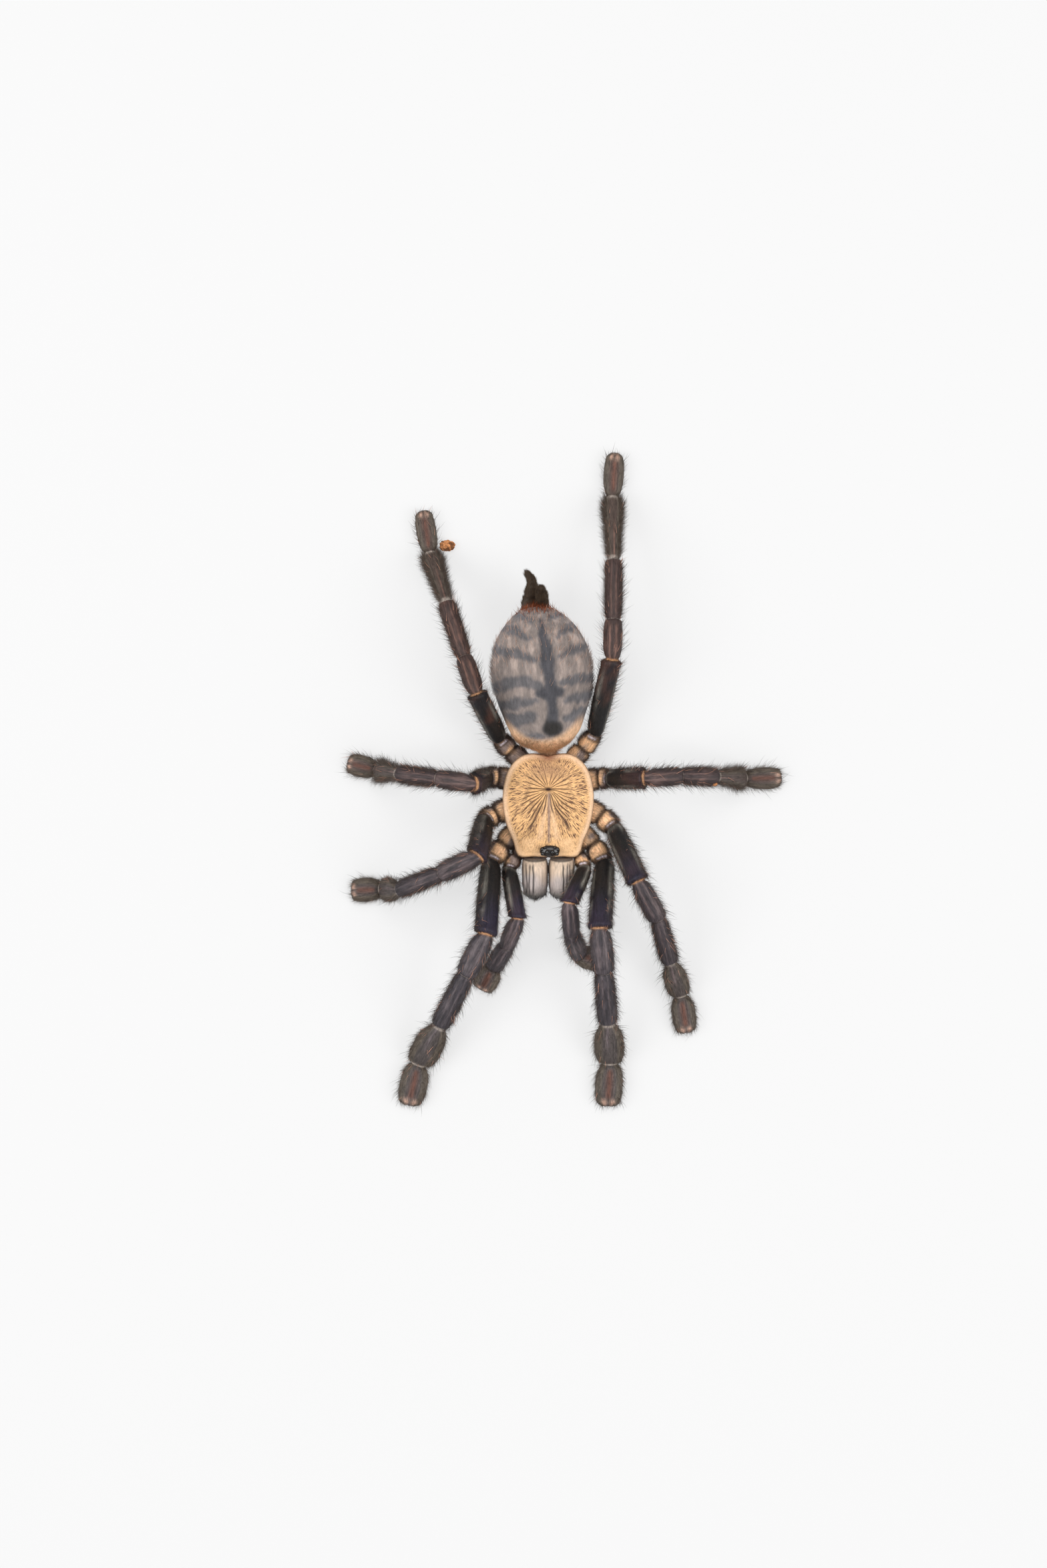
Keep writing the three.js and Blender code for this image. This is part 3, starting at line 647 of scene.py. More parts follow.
def makeLimb(name, seed):
    rng = np.random.default_rng(seed)
    build = limbs[name]["build"]
    segments = list(girths[build])
    headings = unit(np.diff(np.array(limbs[name]["joints"], float), axis=0))
    mesh = sweptTube(name + "_skin", limbRings(name), limbBuild["sides"])
    points = readPoints(mesh)
    place = getVectors(mesh, "place")
    colour, thick, index = paintLimb(name, place, points)
    folds = 0.035 * wobble(points / mm, 5.0, seed) + 0.05 * wobble(getVectors(mesh, "streak"), 3.2, seed + 1)
    lifted = points + normalsOf(mesh) * (folds * mm)[:, None]
    sole = points[:, 2] < 0.05 * mm
    lifted[:, 2] = np.where(sole, points[:, 2], np.maximum(lifted[:, 2], 0))
    writePoints(mesh, lifted)
    setPaint(mesh, colour)
    addPiece(name + "_skin", mesh, materials["limbSkin"], [name])

    def onSegments(shares):
        return np.array([shares[segment] for segment in segments])[index]

    aboveGround = ramp(points[:, 2], 0.05 * mm, 0.4 * mm)
    shown = ramp(place[:, 0], 0.3, 0.8)  # none where the root is in the body
    side = np.abs(unit(place[:, 1:3])[:, 0])
    down = (0.02 + ramp(side, 0.5, 0.95)) * (0.4 + 0.6 * np.minimum(1, thick))
    down *= onSegments({**downShares, **hindBrush.get(build, {})})
    long = onSegments(longShares) * (0.06 + ramp(side, 0.3, 0.9)) * shown
    densities = {
        "pile": thick * aboveGround * shown,
        "tuft": (index < 2) * thick * shown + tiny,  # on the coxa and trochanter alone
        "down": down * aboveGround * shown,
        "long": long * aboveGround * np.minimum(1.0, 0.2 + thick),
        "pale": long * ramp(place[:, 2], -0.2, 0.5),
    }
    coats = []
    for label, hair in limbHair.items():
        longer = hair.get("onSlimMetatarsus", 1) if build in slimBuilds else 1

        def look(roots, where, normal):
            skin, _, segmentHere = paintLimb(name, atRoots(place, roots), where)
            onMetatarsus = np.array(segments)[segmentHere] == "metatarsus"
            return headings[segmentHere], skin, np.where(onMetatarsus, longer, 1.0)

        hair = {**hair, "count": hair["palp" if build == "palp" else "leg"]}
        coats.append(growHair(label, mesh, hair, densities[label], rng, look))
    addPiece(name + "_hair", joined(name + "_hair", coats), materials["limbHair"])


for number, name in enumerate(limbs):
    makeLimb(name, 100 + number)
print("limbs ready")

# The carapace: a shield with a raised head, a pit at its middle and furrows that radiate from it.
shield = {
    "centre": (midX, -4.8), "rimTop": 7.9, "rimThickness": 0.6, "domeHeight": 3.3,
    "headHeight": 1.5, "headSpread": (4.6, 5.2), "headForward": 7, "furrowDepth": 0.16,
    # degrees from the side, from the front at -90 to the rear at 90, and the reach there
    "outline": [(-90, 11.3), (-75, 11.65), (-61, 12.6), (-48, 10.9), (-31, 9.95), (-13, 9.45), (5, 9.5),
                (22, 9.95), (39, 10.7), (51, 11.1), (63, 11.15), (72, 10.8), (81, 10.2), (90, 9.75)],
    "across": 400, "down": 160, "upperRings": 0.75,
    "hair": {"count": 15000, "length": (0.3, 0.62), "rise": (5, 18), "girth": 0.075, "spread": 0.3,
             "droop": 0.05, "rings": 1, "shade": (0.82, 1.12)},
}
pit = {"at": (midX, -2.0), "halfWidth": 1.1, "halfLength": 0.55, "depth": 0.8}
fork = {"slope": 0.52, "offset": 0.4, "halfWidth": 0.8, "middle": 3.5, "halfLength": 4.5, "depth": 0.4}
# Furrows of one side: degrees from straight ahead, where each starts and ends from the pit, half width
rays = [(13, 1.0, 6.2, 0.2), (24, 0.9, 10.5, 0.3), (31, 2.5, 8.5, 0.22), (40, 0.8, 8.0, 0.18),
        (50, 1.2, 8.6, 0.2), (60, 1.0, 7.8, 0.18), (70, 2.0, 7.0, 0.14), (80, 0.8, 6.4, 0.16),
        (93, 0.7, 5.6, 0.2), (108, 1.4, 6.0, 0.14), (122, 0.7, 6.4, 0.18), (137, 0.9, 5.6, 0.16),
        (152, 0.8, 4.6, 0.16), (168, 0.7, 4.6, 0.14)]
carapaceColours = palette({
    "gold": "efbe86", "rim": "eec6a0", "patch": "f3c695", "wedge": "e8c098", "furrow": "2c1c1a",
    "midline": "8d7a74", "notch": "96583a", "rear": "94705c", "edge": "4b3530",
})
flecks = {"colour": "6a4c40", "scale": 1.7, "detail": 3, "distortion": 0.4, "from": 0.51, "to": 0.58}


def shieldRadius(degrees):
    return alongTable(shield["outline"], degrees)[:, 0]


def shieldTop(x, y, share):  # the height of the upper face, at a place from the shield's centre
    pitX, pitY = np.array(pit["at"]) - shield["centre"]
    dome = shield["domeHeight"] * (1 - share**2) ** 0.7
    spreadX, spreadY = shield["headSpread"]
    head = shield["headHeight"] * hump(x, 0, spreadX) * hump(y, -shield["headForward"], spreadY)
    hole = pit["depth"] * hump(x, pitX, pit["halfWidth"]) * hump(y, pitY, pit["halfLength"])
    across = np.abs(x) + fork["slope"] * y - fork["offset"]
    groove = fork["depth"] * hump(across, 0, fork["halfWidth"])
    groove *= hump(y, -fork["middle"], fork["halfLength"])
    return shield["rimTop"] + dome + (1 - share**6) * (head - groove) - hole


def rayPattern(x, y):  # how deep in a furrow each point is, 0 to 1
    dx, dy = x - pit["at"][0], y - pit["at"][1]
    reach = np.hypot(dx, dy)
    bend = 4 * wobble(stack(dx, dy, 0 * dx), 0.55, 12)
    degrees = np.degrees(np.arctan2(np.abs(dx), -dy)) + bend * ramp(reach, 1, 4)
    depth = np.zeros(len(x))
    for angle, start, end, halfWidth in rays:
        away = np.radians(np.abs(degrees - angle)) * reach
        line = hump(away, 0, halfWidth * (0.46 + 0.5 * ramp(reach, start, end)))
        line *= ramp(reach, start - 0.4, start + 0.5) * (1 - ramp(reach, end - 2.2, end))
        depth = np.maximum(depth, line)
    return depth


def shieldShape(unitPoints):  # most of the sphere's rings go to the upper face, evenly spread
    cx, cy = shield["centre"]
    upper = shield["upperRings"]
    fall = np.arccos(np.clip(unitPoints[:, 2], -1, 1)) / np.pi
    share = np.where(fall < upper, fall / upper, (1 - fall) / (1 - upper))
    heading = unit(unitPoints[:, :2] + 1e-9)
    radius = shieldRadius(np.degrees(np.arctan2(heading[:, 1], np.abs(heading[:, 0])))) * share
    x, y = heading[:, 0] * radius, heading[:, 1] * radius
    under = shield["rimTop"] - shield["rimThickness"] * np.minimum(1, (1 - share) * 6)
    top = shieldTop(x, y, share)
    top -= shield["furrowDepth"] * rayPattern(x + cx, y + cy) * (1 - ramp(share, 0.8, 0.92))
    top += 0.12 * hump(share, 0.965, 0.03) + 0.03 * wobble(stack(x, y, 0 * x), 3.0, 3)
    return stack(x + cx, y + cy, np.where(fall <= upper + 0.0001, top, under))


def addFlecks(material):  # dark flecks that line up with the furrows, over the painted skin
    tree = material.node_tree
    link = tree.links.new
    shader = tree.nodes["Principled BSDF"]
    base = shader.inputs["Base Color"].links[0].from_socket
    where = addNode(tree, "Attribute", attribute_name="rayPlace")
    share = addNode(tree, "Attribute", attribute_name="fleckShare")
    cells = addNode(tree, "TexNoise", {"Scale": flecks["scale"], "Detail": flecks["detail"],
                                       "Distortion": flecks["distortion"]})
    pick = addNode(tree, "MapRange", {"From Min": flecks["from"], "From Max": flecks["to"]})
    amount = addNode(tree, "Math", operation="MULTIPLY")
    blend = addNode(tree, "Mix", {"B": rgba(flecks["colour"])}, data_type="RGBA")
    link(where.outputs["Vector"], cells.inputs["Vector"])
    link(cells.outputs["Fac"], pick.inputs["Value"])
    link(pick.outputs["Result"], amount.inputs[0])
    link(share.outputs["Fac"], amount.inputs[1])
    link(amount.outputs["Value"], blend.inputs["Factor"])
    link(base, blend.inputs["A"])
    link(blend.outputs["Result"], shader.inputs["Base Color"])
    return material


def makeCarapace():
    cx, cy = shield["centre"]
    rimTop = shield["rimTop"]
    mesh = ballMesh("carapace", shield["across"], shield["down"], shieldShape)
    points = readPoints(mesh) / mm
    x, y, z = points.T
    share = np.hypot(x - cx, y - cy) / shieldRadius(np.degrees(np.arctan2(y - cy, np.abs(x - cx))))
    reach = np.hypot(x - pit["at"][0], y - pit["at"][1])
    lean = np.degrees(np.arctan2(np.abs(x - midX), pit["at"][1] - y))  # degrees from straight ahead
    grain = wobble(points, 1.6, 5)
    c = carapaceColours
    colour = mix(c["gold"], c["rim"], ramp(share, 0.84, 0.95))
    # a plain patch at each front corner, and a pale wedge between the first furrows
    patch = (hump(x, midX - 3.9, 2.3) + hump(x, midX + 3.9, 2.3)) * (1 - ramp(y, -12.6, -11.6))
    patch = np.clip(patch, 0, 1)
    colour = mix(colour, c["patch"], patch)
    wedge = hump(lean, 9.5, 5) * ramp(reach, 1.5, 4) * (1 - ramp(-y, 11.8, 13))
    colour = mix(colour, c["wedge"], 0.85 * wedge)
    furrows = rayPattern(x, y) * (1 - ramp(share, 0.82, 0.92)) * (1 - 0.9 * patch)
    colour = mix(colour, c["furrow"], np.clip(0.95 * furrows, 0, 1))
    blotch = hump(lean, 23, 6) * ramp(reach, 3, 5) * (1 - ramp(reach, 9.5, 12.5)) * ramp(grain, -0.4, 0.5)
    colour = mix(colour, c["furrow"], 0.4 * blotch)
    middle = hump(x, midX + 0.1, 0.32) * (1 - ramp(-y, 12.6, 13.4)) * ramp(-y, 2.0, 3.2)
    colour = mix(colour, c["midline"], 0.85 * middle)
    hole = hump(x, pit["at"][0], 1.0) * hump(y, pit["at"][1], 0.42)
    colour = mix(colour, c["furrow"], np.clip(1.2 * hole, 0, 1))
    colour = mix(colour, c["notch"], 0.8 * hump(x, midX, 1.6) * ramp(y, 3.2, 4.6))
    colour = mix(colour, c["rear"], 0.55 * hump(x, midX, 4) * hump(y, 2.0, 2.4))
    # painted shade darkens the rim's underside, and the front edge is dark
    below = ramp(rimTop - z, -0.02, 0.15)
    colour = mix(colour, c["edge"], np.maximum(below, 0.85 * (1 - ramp(y, -16.2, -15.7))))
    colour = mix(colour, c["edge"], 0.7 * hump(share, 0.992, 0.006) * (y > -16))
    colour *= (1 + 0.06 * grain)[:, None]
    setPaint(mesh, colour)
    setVectors(mesh, "rayPlace", stack(lean / 1.8, np.sqrt(reach) * 2.9, np.sign(x - midX) * 9))
    flecked = ramp(reach, 2.0, 4.5) * (1 - ramp(share, 0.84, 0.9)) * (1 - patch) * (1 - 0.8 * wedge)
    flecked *= ramp(z, rimTop, rimTop + 0.3)
    setVectors(mesh, "fleckShare", stack(flecked, flecked, flecked))
    addPiece("carapace_shield", mesh, addFlecks(materials["carapaceSkin"]), ["carapace"])

    def look(roots, where, normal):  # short flat hair that points away from the pit
        flow = where / mm - np.array([*pit["at"], 0])
        flow[:, 2] = 0
        return flow, atRoots(np.clip(colour, 0, 1), roots), 1.0

    density = (z > rimTop - 0.02) * (1 - 0.75 * ramp(share, 0.88, 0.93)) + tiny
    hairs = growHair("carapace_hair", mesh, shield["hair"], density, np.random.default_rng(200), look)
    addPiece("carapace_hair", hairs, materials["bodyHair"])


makeCarapace()

# The eyes, on their mound near the front edge.
mound = {"at": (midX + 0.3, -14.7, 9.9), "half": (2.1, 1.35, 1.15), "colour": "1c1614"}
eyeColour = "0b0a0a"
eyes = [{"out": 0.55, "forward": 0.3, "up": 1.0, "radius": 0.46},
        {"out": 1.5, "forward": 0.65, "up": 0.5, "radius": 0.42},
        {"out": 1.55, "forward": -0.3, "up": 0.6, "radius": 0.4},
        {"out": 1.0, "forward": -0.6, "up": 0.85, "radius": 0.25}]


def makeEyes():
    middle, half = np.array(mound["at"]), np.array(mound["half"])
    hill = ballMesh("eye_mound", 64, 32, lambda p: middle + p * half * (1 + 0.03 * wobble(p, 6, 8))[:, None])
    setPaint(hill, hexColour(mound["colour"]))
    addPiece("eye_mound", hill, materials["horn"])
    lenses = []
    for side in (-1, 1):
        for eye in eyes:
            at = middle + np.array([side * eye["out"], -eye["forward"], eye["up"]])
            lenses.append(ballMesh("lens", 28, 16, lambda p: at + p * eye["radius"]))
    group = joined("eyes", lenses)
    setPaint(group, hexColour(eyeColour))
    addPiece("eyes", group, materials["eyeLens"])


makeEyes()
print("carapace and eyes ready")

# The abdomen, an egg of dark bands on taupe velvet.
belly = {
    "centre": (-4.75, 21.3, 9.6), "half": (10.7, 14.9, 8.3), "yaw": 3.8, "egg": 0.045,
    "frontSwell": 0.14, "frontReach": 0.7, "pile": 0.3, "skinShade": 0.85, "across": 160, "down": 120,
}
# Bands: points across the back with the half width at each. The first runs along the midline
# with the second crossing it, and the third is the black spot at the front.
bands = [
    [(-4.9, 32.8, 0.5), (-4.6, 30.5, 0.6), (-4.4, 28.5, 1.1), (-3.9, 26, 1.2), (-3.4, 23.6, 1.5),
     (-3.2, 21.5, 1.1), (-2.9, 18.4, 1.3), (-2.6, 15, 0.9), (-2.4, 11.5, 1.2)],
    [(-5.4, 17.7, 0.8), (-2.9, 17.8, 1.7), (-1.0, 18.0, 0.8)],
    [(-3.0, 10.6, 1.3), (-2.4, 10.3, 1.6), (-1.8, 10.6, 1.3)],
    [(-13.5, 32, 1.2), (-10.4, 30.6, 0.9), (-7.5, 29, 0.5)],
    [(-15.2, 26.6, 1.1), (-10, 25.8, 1.0), (-5.8, 24.6, 0.5)],
    [(-15.6, 18.4, 1.2), (-12, 19.6, 1.35), (-8, 20.2, 1.3), (-5, 18.9, 0.7), (-3.2, 18.2, 0.6)],
    [(-14.8, 14.9, 1.1), (-10, 15.7, 1.05), (-6, 16.1, 0.6)],
    [(-13.4, 12.1, 1.2), (-10, 12.4, 1.5), (-6.8, 12.9, 1.1)],
    [(-10.4, 8.0, 0.9), (-7, 8.6, 1.0), (-4.5, 8.9, 0.5)],
    [(-1.5, 29.6, 0.5), (2.4, 32.3, 0.9)],
    [(-1.2, 25.2, 0.5), (1.5, 26.6, 0.95), (5.1, 27.9, 0.9)],
    [(-0.4, 19.8, 0.8), (3, 20.8, 1.1), (6.1, 20.6, 1.0)],
    [(0.0, 16.2, 0.5), (3, 16.9, 0.9), (5.8, 17.5, 0.8)],
    [(0.4, 12.9, 0.9), (2.4, 13.3, 1.5), (4.6, 14.3, 1.0)],
    [(0.4, 9.0, 0.8), (3.0, 9.9, 0.8)],
    [(-10, 34, 0.7), (-7, 32.4, 0.5)],
    [(-3, 33.6, 0.6), (-0.3, 34.6, 0.6)],
]
bellyColours = palette({"taupe": "8b7f79", "pale": "a8978e", "slate": "55565b", "midline": "3a3a40",
                        "black": "262321", "gold": "dcb088", "under": "6e5e54"})
# A velvet pile, pale hairs to the rear, a fringe at the sides, golden hair over the waist, and
# red-brown bristles round the spinnerets
bellyHair = {
    "pile": {"count": 42000, "length": (0.4, 0.8), "rise": (4, 12), "girth": 0.085, "spread": 0.14,
             "droop": 0.1, "rings": 1, "shade": (0.86, 1.16)},
    "pale": {"count": 420, "length": (1.2, 2.6), "rise": (10, 34), "girth": 0.065, "spread": 0.22,
             "droop": 0.15, "rings": 2, "tint": "c8a08a", "cover": 1, "shade": (0.7, 1.25)},
    "fringe": {"count": 750, "length": (0.9, 1.9), "rise": (20, 50), "girth": 0.08, "spread": 0.4,
               "droop": 0.15, "rings": 2, "gain": 1.25},
    "collar": {"count": 4600, "length": (0.7, 1.7), "rise": (12, 40), "girth": 0.07, "spread": 0.55,
               "droop": 0.2, "rings": 1, "tint": "dcb088", "cover": 0.7, "shade": (0.75, 1.2)},
    "bristles": {"count": 420, "length": (1.2, 2.8), "rise": (10, 40), "girth": 0.085, "spread": 0.35,
                 "droop": 0.0, "rings": 2, "between": ("a8562e", "5a3222")},
}
waist = {
    "path": [(midX, 8.4, 7.6), (midX, 5.6, 5.9), (midX, 3.1, 5.2)], "half": [1.2, 1.15, 1.2],
    "rings": 24, "sides": 32, "colour": "6b4a38",
    "hair": {"count": 2600, "length": (1.4, 3.0), "rise": (25, 75), "girth": 0.075, "spread": 1.1,
             "droop": 0.1, "rings": 1, "between": ("9a6446", "d8ab84")},
}


def strokeMask(x, y, stroke, soft):
    shade = np.zeros(len(x))
    for (x0, y0, w0), (x1, y1, w1) in zip(stroke, stroke[1:]):
        dx, dy = x1 - x0, y1 - y0
        t = np.clip(((x - x0) * dx + (y - y0) * dy) / (dx * dx + dy * dy), 0, 1)
        away = np.hypot(x - x0 - t * dx, y - y0 - t * dy) - (w0 + t * (w1 - w0))
        shade = np.maximum(shade, 1 - ramp(away, -soft, soft))
    return shade


def paintBelly(points):
    points = points / mm
    x, y, z = points.T
    c = bellyColours
    centreX, centreY, _ = belly["centre"]
    halfX, halfY, _ = belly["half"]
    across = np.hypot((x - centreX) / halfX, (y - centreY) / halfY)
    topSide = ramp(z, 4, 8)
    # two ripples make the bands' edges ragged
    rippleX = 0.35 * wobble(points, 1.4, 21) + 0.2 * wobble(points, 4.5, 24)
    rippleY = 0.35 * wobble(points, 1.3, 22) + 0.3 * wobble(points * [1, 0.2, 1], 4.5, 25)
    grain = wobble(points * [1, 0.3, 1], 3.0, 23)
    dark = np.zeros(len(x))
    for band in bands:
        dark = np.maximum(dark, strokeMask(x + rippleX, y + rippleY, band, 0.5))
    colour = mix(c["taupe"], c["pale"], ramp(grain, -0.2, 0.8) * ramp(y, 12, 22))
    colour = mix(colour, c["slate"], 0.25 * ramp(across, 0.72, 1.0) + 0.2 * ramp(y, 29, 34))
    colour = mix(colour, c["slate"], 0.82 * dark * topSide)
    middle = np.maximum(strokeMask(x + 0.4 * rippleX, y, bands[0], 0.6), strokeMask(x, y, bands[1], 0.6))
    colour = mix(colour, c["midline"], 0.78 * middle * topSide)
    colour = mix(colour, c["black"], strokeMask(x + rippleX, y + rippleY, bands[2], 0.8) * topSide)
    front = (1 - ramp(y + 0.6 * rippleX + 0.03 * (x - midX) ** 2, 7.0, 9.0)) * (1 - 0.6 * dark)
    rim = 0.75 * ramp(across + 0.02 * rippleX, 0.84, 0.95) * (1 - ramp(y, 10, 14.5))
    colour = mix(colour, c["gold"], np.maximum(front, rim) * topSide)
    colour = mix(colour, c["under"], 0.8 * (1 - topSide))
    # the colour gets lighter towards the edge of the back, painted light against the shade there; grain adds
    # random tone
    return colour * ((1 + 0.14 * grain) * (1 + 0.4 * ramp(across, 0.76, 0.95)))[:, None]


def bellyShape(unitPoints):
    px, py, pz = unitPoints.T
    halfX, halfY, halfZ = np.array(belly["half"]) - belly["pile"]
    swell = 1 + belly["egg"] * py + belly["frontSwell"] * ramp(-py, 0.5, 0.95)
    reach = belly["frontReach"] * ramp(-py, 0.6, 1.0)
    body = stack(px * halfX * swell, py * halfY - reach, pz * halfZ * swell)
    # a dried back sinks a little, in shallow dimples along the midline
    dent = 0.16 * wobble(body, 0.5, 31) + 0.08 * wobble(body, 1.3, 32)
    body += unit(body) * dent[:, None]
    yaw = np.radians(belly["yaw"])
    x = body[:, 0] * np.cos(yaw) - body[:, 1] * np.sin(yaw)
    y = body[:, 0] * np.sin(yaw) + body[:, 1] * np.cos(yaw)
    return stack(x, y, body[:, 2]) + belly["centre"]


def makeAbdomen():
    rng = np.random.default_rng(300)
    mesh = ballMesh("abdomen", belly["across"], belly["down"], bellyShape)
    points = readPoints(mesh)
    x, y, z = (points / mm).T
    setPaint(mesh, paintBelly(points) * belly["skinShade"])
    addPiece("abdomen_skin", mesh, materials["abdomenSkin"], ["abdomen"])
    densities = {
        "pile": 0.35 + 0.65 * ramp(z, 4, 9),
        "pale": ramp(y, 16, 34) * (0.25 + ramp(z, 6, 12)),
        "fringe": 1e-4 + ramp(np.abs(x - belly["centre"][0]), 9, 10.5),
        "collar": (1 - ramp(y - 0.02 * (x - midX) ** 2, 6.9, 8.9)) * ramp(z, 4, 7),
        "bristles": ramp(y, 33.2, 35.4) * hump(x, -5.8, 4.2),
    }
    coats = []
    for label, hair in bellyHair.items():
        outward, backward = (0.0875, -1) if label == "collar" else (0.035, 1)

        def look(roots, where, normal):
            away = where / mm - belly["centre"]
            flow = stack(outward * away[:, 0], np.full(len(away), backward), -0.25 - 0.02 * away[:, 2])
            return flow, paintBelly(where), 1.0

        coats.append(growHair(label, mesh, hair, densities[label], rng, look))
    addPiece("abdomen_hair", joined("abdomen_hair", coats), materials["abdomenHair"])

    tube = sweptTube("waist", curveRings(waist["path"], waist["half"], waist["rings"]), waist["sides"])
    setPaint(tube, hexColour(waist["colour"]))
    addPiece("waist", tube, materials["limbSkin"])
    _, y, z = (readPoints(tube) / mm).T

    def waistLook(roots, where, normal):
        return np.array([0.0, -0.5, 0.3]) + 0.5 * normal, np.zeros_like(normal), 1.0

    density = ramp(y, 3, 5) * ramp(z, 5, 6.5) + tiny
    hairs = growHair("waist_hair", tube, waist["hair"], density, rng, waistLook)
    addPiece("waist_hair", hairs, materials["abdomenHair"])


makeAbdomen()
print("abdomen ready")

# The jaws and their fangs. A jaw's base and end are given as y and z.
jaw = {
    "offset": 2.75, "half": 2.7, "base": (-16.1, 7.0), "end": (-24.7, 4.9), "pile": 0.08,
    "rings": 56, "sides": 150, "least": 0.05,
    "profile": [(0, 0.84, 0.9, 0.95), (0.14, 1, 1.2, 1.2), (0.45, 1.03, 1.35, 1.3),
                (0.75, 0.96, 1.2, 1.15), (0.92, 0.72, 0.8, 0.85), (1, 0.12, 0.14, 0.16)],
    # dark stripes: how far out on the jaw, how narrow, how strong, and which way they waver
    "stripes": [(0.14, 0.07, 1, 1), (0.42, 0.06, 0.9, -1), (0.66, 0.06, 0.85, 1)],
}
jawColours = palette({"cream": "d3bca6", "pink": "bcafaa", "grey": "6a6560", "dark": "241f20",
                      "rust": "6e4232"})
jawHair = {
    "pile": {"count": 6500, "length": (0.3, 0.65), "rise": (5, 14), "girth": 0.06, "spread": 0.1,
             "droop": 0.05, "rings": 1, "shade": (0.86, 1.1)},
    "fringe": {"count": 260, "length": (0.8, 1.9), "rise": (15, 50), "girth": 0.07, "spread": 0.5,
               "droop": 0.2, "rings": 2, "gain": 0.45},
    "brush": {"count": 700, "length": (1.0, 1.8), "rise": (30, 60), "girth": 0.09, "spread": 0.4,
              "droop": 0.1, "rings": 1, "tint": "6e4232", "cover": 1, "shade": (0.6, 1.2)},
}
fang = {"half": 0.75, "taper": [0.8, 1, 0.75, 0.5, 0.1], "rings": 40, "sides": 32, "colour": "15100e",
        "path": [(-24.3, 1.95), (-23.0, 1.15), (-21.4, 0.8), (-19.8, 0.8), (-18.4, 1.1)]}


def makeJaw(word, side):
    rng = np.random.default_rng(400 + side)
    x = midX + side * jaw["offset"]
    start, end = np.array([x, *jaw["base"]]), np.array([x, *jaw["end"]])
    along = unit(end - start)
    shares = (1 - np.cos(np.linspace(0, np.pi, jaw["rings"]))) / 2
    rings = straightRings(start, end, unit(np.cross(along, up)), shares)
    sizes = alongTable(jaw["profile"], shares).T * jaw["half"] - jaw["pile"] * (1 - shares**8)
    rings["wide"], rings["high"], rings["deep"] = np.maximum(sizes, jaw["least"])
    rings["place"] = shares
    rings["length"] = shares * np.linalg.norm(end - start)
    mesh = sweptTube("chelicera_" + word, rings, jaw["sides"])
    place = getVectors(mesh, "place")

    def paint(where, spot):
        share, outer = spot[:, 0], (where[:, 0] / mm - x) * side / jaw["half"]
        topSide = ramp(spot[:, 2], -0.2, 0.4)
        c = jawColours
        colour = mix(c["cream"], c["pink"], ramp(share + 0.15 * wobble(where / mm, 1.2, 41), 0.15, 0.6))
        colour = mix(colour, c["grey"], ramp(share, 0.62, 0.9))
        bend = 0.05 * wobble(where / mm, 1.6, 42)
        stripe = 0.8 * ramp(outer, 0.82, 0.95)
        for at, halfWidth, strength, way in jaw["stripes"]:
            stripe = stripe + strength * hump(outer + way * bend, at, halfWidth)
        stripe *= ramp(share, 0.04, 0.16) * (1 - ramp(share, 0.72, 0.95))
        stripe = np.clip(stripe, 0, 1)
        colour = mix(colour, c["dark"], stripe * topSide)
        # painted shade on the inner face, in the gap where the two jaws meet
        colour = mix(colour, c["dark"], 0.8 * ramp(-outer, 0.78, 0.98))
        # painted shade at the jaw's base, under the front edge of the carapace
        colour = mix(colour, c["dark"], 0.85 * (1 - ramp(share, 0.03, 0.07)))
        return mix(colour, c["rust"], 0.6 * (1 - topSide)), stripe

    def look(roots, where, normal):
        return np.tile(along, (len(where), 1)), paint(where, atRoots(place, roots))[0], 1.0

    colour, stripe = paint(readPoints(mesh), place)
    setPaint(mesh, colour)
    addPiece(f"chelicera_{word}_skin", mesh, materials["cheliceraSkin"], ["chelicera_" + word])
    densities = {"pile": 1 - 0.8 * stripe, "fringe": ramp(place[:, 0], 0.7, 0.95),
                 "brush": ramp(-place[:, 2], 0.3, 0.8)}
    coats = [growHair(label, mesh, hair, densities[label], rng, look) for label, hair in jawHair.items()]
    addPiece(f"chelicera_{word}_hair", joined("jaw_hair", coats), materials["bodyHair"])
    path = [(x, y, z) for y, z in fang["path"]]
    halves = np.array(fang["taper"]) * fang["half"]
    horn = sweptTube("fang_" + word, curveRings(path, halves, fang["rings"]), fang["sides"])
    setPaint(horn, hexColour(fang["colour"]))
    addPiece(f"fang_{word}_horn", horn, materials["horn"], ["fang_" + word])


makeJaw("left", 1)
makeJaw("right", -1)
print("jaws ready")

# The breast plate, and the trunk above it.
plate = {"halfWidth": 3.895, "front": -9.9, "rear": 1.6, "bottom": 1.9, "top": 2.8, "edge": 0.45,
         "taper": 0.22, "scallop": 0.06, "colour": "4a3427"}
trunk = {"halfWidth": 2.31, "halfLength": 5.46, "y": -2.9, "bottom": 2.4, "top": 7.0, "edge": 0.4}
sternumHair = {"count": 3500, "length": (0.6, 1.2), "rise": (15, 45), "girth": 0.1, "spread": 0.4,
               "droop": 0.1, "rings": 1, "tint": "5a4030", "cover": 1, "shade": (0.6, 1.3)}


def slabHeight(pz, slab):  # flattens a ball between two levels; a low edge makes squarer sides
    rounded = np.sign(pz) * np.abs(pz) ** slab["edge"]
    return (slab["bottom"] + slab["top"]) / 2 + rounded * (slab["top"] - slab["bottom"]) / 2


def plateShape(p):
    px, py, pz = p.T
    heart = plate["halfWidth"] * (1 - plate["taper"] * py)
    heart *= 1 - plate["scallop"] * np.cos(3 * np.arctan2(px, -py))
    middle, half = (plate["front"] + plate["rear"]) / 2, (plate["rear"] - plate["front"]) / 2
    return stack(midX + px * heart, middle + py * half, slabHeight(pz, plate))


def trunkShape(p):
    px, py, pz = p.T
    return stack(midX + px * trunk["halfWidth"], trunk["y"] + py * trunk["halfLength"], slabHeight(pz, trunk))


